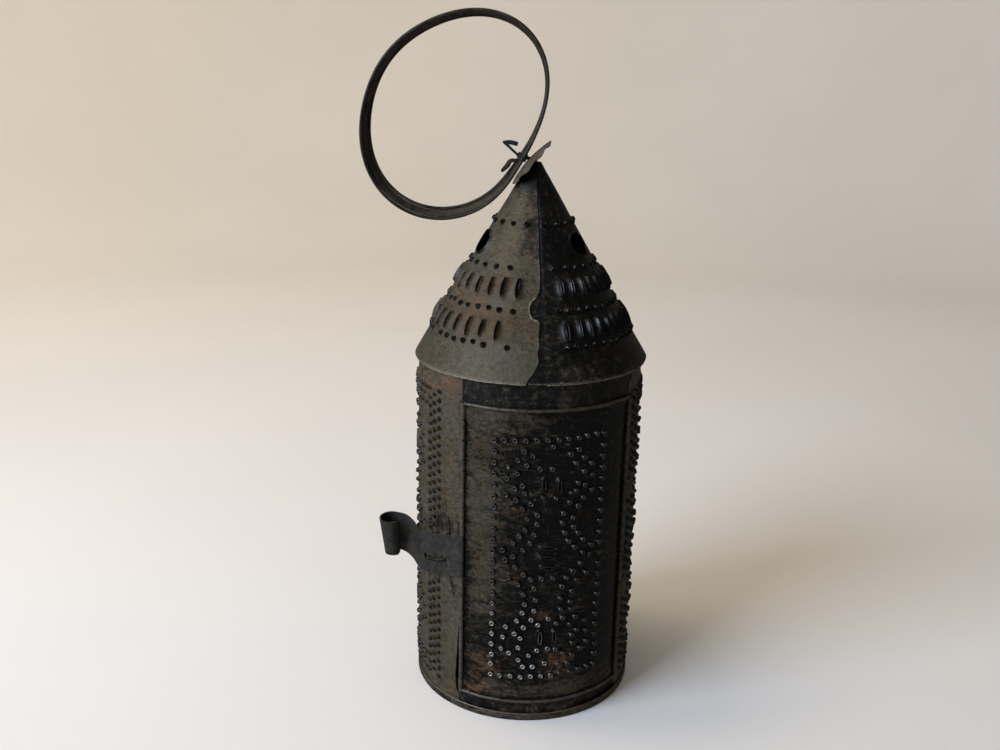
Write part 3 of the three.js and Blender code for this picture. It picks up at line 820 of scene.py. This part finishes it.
make("body_skin", merge(body_sheet, lap_sheet), BODY, "lantern", ["body_shell"])

# ---------------------------------------------------------------- roof
RUN = (ROOF_R - TIP_R) / (TIP_Z - ROOF_Z)
HALF = atan(RUN)
CONE = sin(HALF)
APEX_Z = TIP_Z + TIP_R / RUN
S_TIP, S_BRIM = TIP_R / CONE, ROOF_R / CONE
BACK = 177.0
SEAM_UNDER, SEAM_OVER = -17.0, 353.4  # bearings where the roof sheet begins and ends
SLIT_ROWS = (0.588, 0.777)
SLIT_HALF, DOT_R, VENT_R = 6.4, 1.85, 9.2


def unroll(bearing, share):
    """Flat point of a bearing and a share of the way from the tip to the brim."""
    s = S_TIP + share * (S_BRIM - S_TIP)
    a = rad(bearing - BACK) * CONE
    return (s * sin(a), -s * cos(a))


def rolled_up(x, y):
    """Bearing, share from tip to brim and slant length of flat points."""
    s = np.hypot(x, y)
    bearing = np.arctan2(x, -y) / CONE * 180 / pi + BACK
    return bearing, (s - S_TIP) / (S_BRIM - S_TIP), s


def on_cone(x, y, h):
    bearing, _, s = rolled_up(x, y)
    b = bearing * pi / 180
    r = s * CONE + h * cos(HALF)
    return np.stack([r * np.sin(b), -r * np.cos(b), APEX_Z - s * cos(HALF) + h * CONE], 1)


def roof_punches():
    found = []
    for bearing in (-85, 46, 160.5):
        x, y = unroll(bearing % 360, 0.4)
        found.append(SimpleNamespace(kind="vent", x=x, y=y, a=VENT_R, b=VENT_R, turn=0.0, height=1.3,
                                     shine=0.2))

    def row(share, first, last, near, far, wide=None):
        """A row of dots, or of slits where wide is given, closer together right of the seam."""
        b = first
        while b < last + 0.1:
            x, y = unroll(b + rng.uniform(-0.5, 0.5), share + rng.uniform(-0.004, 0.004))
            turn = rad(b - BACK) * CONE
            if wide:
                add_punch(found, "slit", x, y, SLIT_HALF, wide, turn + pi / 2, 2.1, loose=0.1)
            else:
                add_punch(found, "dot", x, y, DOT_R, None, turn, 1.75, loose=0.1)
            b += near if b < 100 else far

    row(0.29, 2.0, 338.5, 19, 20.2)
    row(0.495, 6.0, 339, 12, 13.2)
    row(SLIT_ROWS[0], 9.0, 337, 9.0, 10.9, wide=2.05)
    row(0.685, 5.0, 338.5, 7.6, 8.55)
    row(SLIT_ROWS[1], 8.0, 332, 7.4, 9.3, wide=2.0)
    row(0.845, 6.0, 338.5, 6.2, 6.75)
    return found


def free(bearing):
    """0 where the seam holds the brim, 1 elsewhere."""
    return smooth(bearing, -6, 3) * smooth(-bearing, -350, -340)


def roof_bend(x, y):
    bearing, share, _ = rolled_up(x, y)
    bands = sum(1.5 * np.exp(-((share - s) / 0.055) ** 2) for s in SLIT_ROWS)
    bands *= smooth(bearing, 0, 9) * smooth(-bearing, -342, -332)
    under = -0.62 * (1 - smooth(bearing, -7.4, 1.5)) + 0.22 * np.exp(-((bearing + 3.2) / 1.6) ** 2)
    over = 0.5 * smooth(bearing, 349.6, 353)
    dents = 0.55 * wobble(x, y, 27, 4) * smooth(share, 0.05, 0.2)
    brim = 0.23 * np.sin(bearing * pi / 180 * 5 + 1) * smooth(share, 0.84, 1.0)
    return bands + under + over + (dents + brim) * free(bearing)


def roof_wear_and_painted_light(x, y):
    bearing, share, _ = rolled_up(x, y)
    nick = blob(bearing, share, 348, 0.672, 4, 0.075) > 0
    left = smooth(bearing, 235, 262) * smooth(-bearing, -352, -318)
    band = smooth(share, 0.5, 0.56) * smooth(-share, -0.86, -0.8)
    # Lighter on the left and blacker on the right: partly wear, partly painted light and shade from the lamp
    # on the left.
    worn = 1.15 * smooth(bearing, 200, 250) - 0.85 * smooth(-bearing, -120, -60)
    # Near the tip the roof is painted black as the shield's cast shadow; near the brim it is a little more
    # worn.
    worn += 0.15 * smooth(share, 0.86, 0.93) - 2.0 * (1 - smooth(share, 0.1, 0.15))
    worn -= 0.75 * smooth(bearing, 316, 350) * (1 - smooth(share, 0.4, 0.7))
    # A dark line along the seam: partly dark joint grime, partly painted shade in the gap.
    worn -= 1.2 * np.clip(1 - ((bearing + 6.2) / 1.6) ** 2, 0, 1)
    rust = left * (0.1 + 0.6 * band)
    rust += blobs(bearing, share, (0.35, 120, 0.7, 40, 0.2), (0.6, 200, 0.93, 60, 0.08))
    return {"worn": np.clip(worn, -1.2, 1.3), "rust": np.clip(rust, 0, 1),
            "rim": np.where(share > 0.985, 0.55, np.where(nick, 0.9, 0.15))}


def roof_outline():
    """Brim out along the start, round, and back up the ragged end."""
    points = [unroll(b, 1.0) for b in np.arange(SEAM_UNDER + 4, SEAM_OVER - 9.5, 2.0)]
    tear = [(345.6, 1.0), (346.0, 0.985), (348.0, 0.965), (349.4, 0.945), (350.3, 0.925), (351.4, 0.905),
            (350.9, 0.87), (351.6, 0.83), (351.2, 0.79), (352.2, 0.745), (352.0, 0.725), (350.0, 0.722),
            (347.6, 0.71), (346.0, 0.69), (345.8, 0.665), (347.2, 0.64), (349.8, 0.625), (352.4, 0.60),
            (353.1, 0.57), (353.7, 0.5), (353.2, 0.42), (354.0, 0.3), (353.4, 0.2), (354.0, 0.1), (354.0, 0.0)]
    points += [unroll(b + (rng.uniform(-0.25, 0.25) if 0 < s < 1 else 0), s) for b, s in tear]
    points += [unroll(b, 0.0) for b in np.arange(342, SEAM_UNDER + 6, -12.0)]
    points += [unroll(SEAM_UNDER + 12, 0.0), unroll(SEAM_UNDER + 6, 0.25), unroll(SEAM_UNDER + 2, 0.55),
               unroll(SEAM_UNDER, 0.75), unroll(SEAM_UNDER + 0.6, 0.97)]
    return points


seam_lines = [(unroll(b, 0.05), unroll(b, 0.98)) for b in (-8.4, -6.2, -4.6, -3.6, -2.4, 351.0, 352.0)]
roof_sheet = sheet(roof_outline(), on_cone, roof_punches(), bend=roof_bend, paint=roof_wear_and_painted_light, grid=3.8,
                   lines=seam_lines)
hem_path = [at(71.7 + 0.12 * ripple(b / 20, 3, 1) + 0.1375 * sin(rad(b) * 5 + 1) * float(free(b)),
               b, 219.25 + 0.16 * ripple(b / 11, 3, 4)) for b in np.linspace(-4.5, 345.5, 170)]
hem = painted(tube(hem_path, 0.36, 8, 0.6), edge=0.9, worn=1.0)
make("roof_skin", merge(roof_sheet, hem), ROOF, "lantern", ["roof_cone"])


# ---------------------------------------------------------------- base pan
def pan_wave(angles):
    return 0.12 * np.array([ripple(cos(t) * 3, sin(t) * 3, 5) for t in angles])


pan_profile = [(2, 0), (40, 0), (69.8, 0.02), (70.6, 0.3), (70.85, 0.9), (70.8, 2.6), (70.82, 4.2),
               (70.7, 4.75), (70.45, 4.95), (70.22, 4.7), (70.2, 3.0), (70.15, 1.3), (69.7, 1.0),
               (60, 1.0), (40, 1.0), (2, 1.0)]
pan = loft([circle(r, z, 144, pan_wave if r > 69 and z > 0.2 else None) for r, z in pan_profile])
pan_worn = np.repeat([0.5 if r > 70 else 0.2 for r, _ in pan_profile], 144)
pan = painted(pan, edge=np.repeat([float(z > 4.5) for _, z in pan_profile], 144), worn=pan_worn,
              rust=pan_worn * 0.6)
make("base_rim", pan, PAN, "lantern", ["base_pan"])

# ---------------------------------------------------------------- hasp
PIN_HERE = LATCH_PIN - SIDE
CURL_X, CURL_Y, CURL_R = -88.1, 1.9, 5.2
key = [at(HASP_R, b, 0)[:2] for b in np.arange(PIN_HERE - 0.8, -76.5, -3.0)]
key += [np.array(p) for p in ((-73, -7.5), (-75.6, -2.6), (-78.5, 1.8), (-82.2, 5.4))]
key += [np.array([CURL_X + CURL_R * cos(rad(a)), CURL_Y + CURL_R * sin(rad(a))])
        for a in range(70, 346, 18)]
hasp_path = spline(key, 260)
hasp_steps = np.concatenate([[0], np.cumsum(np.linalg.norm(np.diff(hasp_path, axis=0), axis=1))])
HASP_LENGTH = hasp_steps[-1]
hasp_along = np.gradient(hasp_path, axis=0)
hasp_along /= np.linalg.norm(hasp_along, axis=1)[:, None]


def on_hasp(x, y, h):
    """Length along the hasp, height before its fall, and distance out from its middle."""
    px, py = (np.interp(x, hasp_steps, hasp_path[:, k]) for k in (0, 1))
    tx, ty = (np.interp(x, hasp_steps, hasp_along[:, k]) for k in (0, 1))
    size = np.hypot(tx, ty)
    px, py = px + ty / size * h, py - tx / size * h
    up = (y - HASP_LOW) / (HASP_HIGH - HASP_LOW)
    share = smooth(-px, 79, 84)
    wide = CURL_X - 1.2 * up + (px - CURL_X) * (1 + 0.32 * up)
    back_y = CURL_Y + CURL_R
    deep = back_y + (py - back_y) * (1 + 0.7 * up)
    px, py = px + (wide - px) * share, py + (deep - py) * share
    bearing = np.arctan2(px, -py) * 180 / pi
    return spin(np.stack([px, py, y - hasp_drop(bearing)], 1), SIDE)


def slot_loop(x0, x1, y0, y1):
    """Round-ended slot."""
    out = []
    r = (y1 - y0) / 2
    for cx, start in ((x1 - r, -90), (x0 + r, 90)):
        out += [(cx + r * cos(rad(start + t)), (y0 + y1) / 2 + r * sin(rad(start + t)))
                for t in range(0, 181, 20)]
    return out


def hasp_paint(x, y):
    return {"worn": 0.5 * smooth(x, 48, 60) + 0.25 * smooth(-x, -12, 0), "rust": 0.25 * smooth(x, 60, 70)}


end = HASP_LENGTH
hasp_outline = [(0, HASP_LOW), (end - 2.5, HASP_LOW), (end - 0.4, HASP_LOW + 2), (end, HASP_LOW + 5),
                (end, HASP_HIGH - 5), (end - 0.4, HASP_HIGH - 2), (end - 2.5, HASP_HIGH), (0, HASP_HIGH)]
hasp_sheet = sheet(hasp_outline, on_hasp, holes=[slot_loop(9.6, 37.0, 100.3, 104.9)], grid=1.9,
                   thick=0.7, top=0.35, paint=hasp_paint,
                   bend=lambda x, y: 0.1 * wobble(x, y, 12, 5) * smooth(-x, -52, -40))
knuckle = barrel(spin(at(PIN_R, PIN_HERE, 0), SIDE),
                 ((1.35, HASP_LOW + 0.1), (1.4, HASP_LOW + 0.4), (1.4, 105), (1.4, HASP_HIGH - 0.4),
                  (1.35, HASP_HIGH - 0.1), (0.9, HASP_HIGH), (0.9, 105), (0.9, HASP_LOW)))
make("hasp_leaf", merge(hasp_sheet, painted(knuckle, worn=0.4)), HASP, "hasp", ["hasp"])

# ---------------------------------------------------------------- handle
LEAN, SHIELD_R, SLIP = 48.6, 17.4, 2.9
radii = [2.9, 4.5, 7, 9.5, 12, 14, 15.6, 16.8]
profile = [(r, 0.36) for r in radii] + [(SHIELD_R, 0.2), (SHIELD_R, -0.2)] + [(r, -0.36) for r in radii[::-1]]
lean_c, lean_s = cos(rad(-LEAN)), sin(rad(-LEAN))
shield_rings = []
for phi in turns(144):
    ring = []
    crimp = cos(9 * phi + 0.6)
    rough = 1 + ripple(cos(phi) * 4, sin(phi) * 4, 3)
    for r, side in profile:
        edge = float(smooth(r, 9, SHIELD_R))
        scale = 1 + 0.035 * edge * (crimp - 1) - 0.012 * edge * rough
        x, y = r * cos(phi) * scale - SLIP, r * sin(phi) * scale
        z = side + 2.6 - 2.8 * (r / SHIELD_R) ** 2 + 0.6 * edge * crimp
        ring.append((x * lean_c + z * lean_s, y, -x * lean_s + z * lean_c + PIVOT_Z))
    shield_rings.append(spin(np.array(ring), SIDE))
shield = painted(loft(shield_rings, closed=True),
                 edge=np.tile([0.8 if r > 17 or r < 3 else 0.0 for r, _ in profile], 144),
                 worn=np.tile([0.3 + 0.5 * r / SHIELD_R for r, _ in profile], 144))
make("shield_leaf", shield, SHIELD, "handle", ["heat_shield"], angle=50)

RING_X, RING_Z = -48.5, 363.86


def on_ring(a, across, out, turn=SIDE):
    """Point of the handle's loop, across its strap and out from it."""
    radius = (55.14 - 2.36 * np.cos(2 * a) + 5.95 * np.sin(2 * a) - 0.43 * np.cos(3 * a) + 1.16 * np.sin(3 * a)
              - 0.69 * np.cos(4 * a) - 1.2 * np.exp(-(((a + rad(42)) / rad(22)) ** 2)))
    cone = rad(27 + 18 * np.cos(a - rad(225)) + 9 * np.cos(2 * (a - rad(80))))
    r = radius + across * np.sin(cone) + out * np.cos(cone)
    y = -across * np.cos(cone) + out * np.sin(cone)
    return spin(np.stack([RING_X + r * np.cos(a), y, RING_Z + r * np.sin(a)], -1), turn)


def hoop(section, worn):
    """Closed loop of a section of (across, out) points, each with its own wear."""
    rings = [[on_ring(a - pi, across, out) for across, out in section] for a in turns(220)]
    return painted(loft(rings, closed=True), worn=np.tile(worn, 220))


half = 2.33
band = hoop([(-half, 0.3), (-half + 0.12, 0.4), (-1.1, 0.36), (0, 0.27), (1.1, 0.36), (half - 0.12, 0.4),
             (half, 0.3), (half, -0.3), (half - 0.12, -0.4), (-half + 0.12, -0.4), (-half, -0.3)],
            [0.5, 0.4, 0.3, 0.2, 0.3, 0.4, 0.5, 0.9, 0.9, 0.9, 0.9])
make("ring_strap", band, RING, "handle", ["ring_band"])
for side, middle in (("front", 3.7), ("back", -3.7)):
    rod = hoop([(middle + cos(t), sin(t)) for t in turns(10)],
               [0.25 + 0.4 * (sin(t) < 0) for t in turns(10)])
    make(f"ring_edge_{side}", rod, RING, "handle", [f"ring_wire_{side}"])


def ribbon(points, widths, thick, y=0.0, seed=0.0):
    """Flat strip bent in the handle's own plane, from (x, z) points and widths."""
    path = spline([(px, pz, w) for (px, pz), w in zip(points, widths)], 26)
    t = np.gradient(path[:, :2], axis=0)
    t /= np.linalg.norm(t, axis=1)[:, None]
    rings = []
    for i, (px, pz, w) in enumerate(path):
        side = np.array([-t[i][1], 0, t[i][0]])
        tilt = 0.35 * ripple(i / 8, seed, 0)
        centre = np.array([px, y + 0.35 * ripple(i / 9, seed, 3), pz])
        flat = side * cos(tilt) + np.array([0, sin(tilt), 0])
        face = np.array([0, cos(tilt), 0]) - side * sin(tilt)
        ring = [centre + flat * u * w / 2 + face * v * thick / 2 for u, v in
                ((-1, -0.5), (-0.8, -1), (0.8, -1), (1, -0.5), (1, 0.5), (0.8, 1), (-0.8, 1), (-1, 0.5))]
        rings.append(spin(np.array(ring), SIDE))
    return painted(loft(rings), edge=np.tile([0.7, 0.28, 0.28, 0.7] * 2, len(rings)), worn=0.1)


TIE = rad(-31)
tie_at = on_ring(TIE, 0, 0, 0)
across = on_ring(TIE, 1, 0, 0) - tie_at
outward = on_ring(TIE, 0, 1, 0) - tie_at
across /= np.linalg.norm(across)
outward /= np.linalg.norm(outward)
along = np.cross(across, outward)
collar = []
for t in turns(40):
    c, s = cos(t), sin(t)
    u = 5.42 * copysign(abs(c) ** 0.22, c)
    v = 1.72 * copysign(abs(s) ** 0.3, s)
    lean = 0.35 * sin(2 * t + 0.6)
    ring = [tie_at + across * (u + c * out) + outward * (v + s * 0.8 * out) + along * (length + lean)
            for out, length in ((0.28, -1.25), (0.28, 1.25), (0.18, 1.35), (-0.28, 1.35),
                                (-0.28, -1.35), (0.18, -1.35))]
    collar.append(spin(np.array(ring), SIDE))
eye_profile = ((0.9, -0.9), (1.35, -1.0), (1.5, -0.8), (1.5, 0.8), (1.35, 1.0), (0.9, 0.9))
eye = [spin(np.array([(r * cos(t), y, PIVOT_Z + r * sin(t)) for r, y in eye_profile]), SIDE)
       for t in turns(24)]
tie_x, tie_z = tie_at[0], tie_at[2]
stem = [(tie_x * k, PIVOT_Z + (tie_z - PIVOT_Z) * k) for k in (0.14, 0.5, 0.8)]
stem[2] = (tie_x * 0.84, stem[2][1])
tie = merge(
    painted(loft(collar, closed=True), worn=0.2), loft(eye, closed=True),
    ribbon(stem, [1.5, 2.0, 1.8], 0.9, seed=1),
    ribbon([(tie_x + 1.4, tie_z - 1.6), (-13.6, 343.6), (-16.4, 346.2), (-19.0, 348.2)],
           [1.5, 1.5, 1.7, 1.5], 1.0, 0.25, 2),
    ribbon([(-19.6, 348.3), (-16.5, 348.4), (-13.2, 347.9), (-10.6, 347.3)],
           [1.4, 2.3, 2.7, 2.3], 1.0, -0.2, 3),
    ribbon([(tie_x - 1.2, tie_z - 1.8), (-14.6, 337.4), (-16.7, 334.6), (-19.6, 331.6), (-20.3, 331.2)],
           [1.6, 2.6, 3.1, 2.0, 1.3], 1.0, 0.1, 4),
    ribbon([(tie_x + 2.6, tie_z + 0.2), (-5.4, 343.6), (-1.6, 347.6)], [2.6, 1.6, 0.3], 0.8, -0.3, 5))
make("tie_strap", tie, IRON, "handle", ["handle_tie"], angle=40)


# ---------------------------------------------------------------- straps and staple plate
def lens(x0, x1, low, high, corner):
    """Plate outline with rounded far corners."""
    out = [(x0, low), (x1 - corner, low)]
    out += [(x1 - corner + corner * sin(t), low + corner - corner * cos(t))
            for t in np.linspace(0.2, pi / 2, 5)]
    out += [(x1 - corner + corner * cos(t), high - corner + corner * sin(t))
            for t in np.linspace(0.0, pi / 2 - 0.2, 5)]
    return out + [(x1 - corner, high), (x0, high)]


for place, (low, high) in zip(("upper", "lower"), STRAP_SPANS[::-1]):
    tail = sheet(lens(arc(HINGE_PIN + 0.9), arc(HINGE_PIN + 10.5), low + 0.1, high - 0.1, 4.5),
                 on_cylinder(70.6), grid=1.6, thick=0.5, bend=lambda x, y: 0.06 * wobble(x, y, 5, 2),
                 paint=lambda x, y: {"worn": np.full(len(x), 0.3), "rust": np.full(len(x), 0.3)})
    wrapped = barrel(at(PIN_R, HINGE_PIN, 0), ((1.3, low), (1.4, low + 0.3), (1.4, (low + high) / 2),
                                               (1.4, high - 0.3), (1.3, high), (0.9, high), (0.9, low)))
    make(f"hinge_leaf_{place}", merge(tail, painted(wrapped, worn=0.4)), STRAP, "lantern",
         [f"hinge_strap_{place}"])

plate_outline = [(arc(-65), 96.5), (arc(-54), 96.5), (arc(-54), 122.5)]
plate_outline += [(arc(-56.5) + 2.24 * sin(t), 122.5 + 6.2 * (1 - cos(t))) for t in (1.25, 1.5)]
plate_outline += [(arc(b), z) for b, z in ((-57.0, 128.4), (-58.6, 129.0), (-61.0, 128.2), (-62.6, 125.6),
                                           (-64.2, 123.6), (-65, 121.5))]
# The lighter spot at the top of the plate is a painted highlight where its bulge catches the light.
plate = sheet(plate_outline, on_cylinder(70.5), grid=1.6, thick=0.42,
              bend=lambda x, y: 0.05 * wobble(x, y, 5, 6),
              paint=lambda x, y: {"worn": 0.9 * blob(x, y, arc(-58.5), 126, 5, 4)})
make("latch_plate", plate, BODY, "lantern", ["staple_plate"])


# ---------------------------------------------------------------- candle
def melted(z):
    """Waviness of the wax at a height."""
    return lambda angles: 0.18 * np.array(
        [ripple(cos(t) * 1.6, sin(t) * 1.6, z / 30) for t in angles])


candle_profile = ((2.6, 9.9), (3.2, 10.3), (20, 10.35), (40, 10.3), (60, 10.3), (80, 10.25), (94, 10.2),
                  (100, 10.0), (102.6, 9.6), (103.6, 8.9), (103.4, 7.4), (102.4, 5.2), (101.9, 2.6),
                  (102.0, 1.5))
candle = loft([circle(r, z, 48, melted(z) if 3 < z < 103 else None) for z, r in candle_profile])
make("candle_stick", candle, WAX, "candle", ["candle"], angle=60)
wick_path = spline([(0, 0, 102.2), (0.1, 0, 105), (-0.15, 0.1, 108), (0.3, 0.0, 110.9)], 14)
make("wick_end", tube(wick_path, np.linspace(0.85, 0.6, 14), 10, 0.5), COTTON, "candle", ["wick"])

# ---------------------------------------------------------------- CAD nodes that stay
for node, material in {"candle_socket": SOCKET, "apex_staple": IRON, "hasp_staple": IRON,
                       "door_hinge_pin": IRON, "hasp_pin": IRON}.items():
    finish_mesh(nodes[node].data, material, 35)

# ---------------------------------------------------------------- stage, light and camera
floor_look = Graph("paper_floor")
tint = floor_look.noise(2.2, 3, 0.5)
pulp = floor_look.noise(900, 2, 0.5)
paper = floor_look.mix((0.80, 0.79, 0.77), (0.83, 0.82, 0.80), floor_look.step(tint, 0.3, 0.7))
floor_look.set(Base_Color=paper, Roughness=floor_look.step(pulp, 0.3, 0.7, to=(0.82, 0.92)))
floor_look.bump(pulp, 0.06, 0.0002)
FLAT_R, CURVE_R, SWEEP_TOP = 1.5, 1.2, 3.2
sweep_profile = [(0.5, 0.0), (FLAT_R, 0.0)]
sweep_profile += [(FLAT_R + CURVE_R * sin(t), CURVE_R - CURVE_R * cos(t))
                  for t in np.linspace(0.12, pi / 2, 10)]
sweep_profile += [(FLAT_R + CURVE_R, SWEEP_TOP)]
count = 96
bowl_verts = np.concatenate([[(0, 0, 0)]] + [circle(r, z, count) for r, z in sweep_profile])
bowl_faces = [(0, 1 + k, 1 + (k + 1) % count) for k in range(count)]
for a in range(1, 1 + (len(sweep_profile) - 1) * count, count):
    bowl_faces += [(a + k, a + k + count, a + (k + 1) % count + count, a + (k + 1) % count)
                   for k in range(count)]
bowl = bpy.data.meshes.new("paper_sweep")
bowl.from_pydata(bowl_verts.tolist(), [], bowl_faces)
bowl.polygons.foreach_set("use_smooth", [True] * len(bowl.polygons))
bowl.materials.append(floor_look.material)
sweep = add("paper_sweep", bowl)
sweep.visible_glossy = False


def lamp(name, where, aim, size, power, colour, spread=180):
    data = bpy.data.lights.new(name, "AREA")
    data.shape = "RECTANGLE"
    data.size, data.size_y = size
    data.energy = power
    data.color = colour
    data.spread = rad(spread)
    obj = add(name, data)
    obj.location = where
    obj.rotation_euler = (Vector(aim) - Vector(where)).to_track_quat("-Z", "Y").to_euler()
    obj.visible_camera = False


lamp("window", (-1.62, -0.72, 1.0), (0, 0, 0.12), (1.1, 1.2), 19.5, (0.86, 0.97, 1.17), 125)
lamp("room", (-1.15, 0.4, 2.5), (-1.35, 2.4, 0.7), (1.4, 1.0), 33, (1.0, 0.8, 0.54))
lamp("top_fill", (-0.5, 0.3, 2.4), (-0.1, 0.2, 0.1), (1.8, 1.8), 6.5, (1.0, 0.92, 0.82))
world = bpy.data.worlds.new("room")
bpy.context.scene.world = world
world.use_nodes = True
world.node_tree.nodes["Background"].inputs["Color"].default_value = (0.9, 0.86, 0.8, 1)
world.node_tree.nodes["Background"].inputs["Strength"].default_value = 0.1

YAW, PITCH, ROLL = -0.02945987, 0.28763559, 0.01893311
forward = Vector((sin(YAW) * cos(PITCH), cos(YAW) * cos(PITCH), -sin(PITCH)))
right = forward.cross(Vector((0, 0, 1))).normalized()
up = right.cross(forward)
cam_x = right * cos(ROLL) + up * sin(ROLL)
cam_y = -right * sin(ROLL) + up * cos(ROLL)
pose = Matrix((cam_x, cam_y, -forward)).transposed().to_4x4()
pose.translation = Vector((0, -0.63322, 0.39111))
camera = add("camera", bpy.data.cameras.new("camera"))
camera.data.lens, camera.data.sensor_width = 37.48, 36
camera.matrix_world = Matrix.Rotation(rad(SIDE), 4, "Z") @ pose
bpy.context.scene.camera = camera

bpy.context.scene.view_settings.view_transform = "Standard"
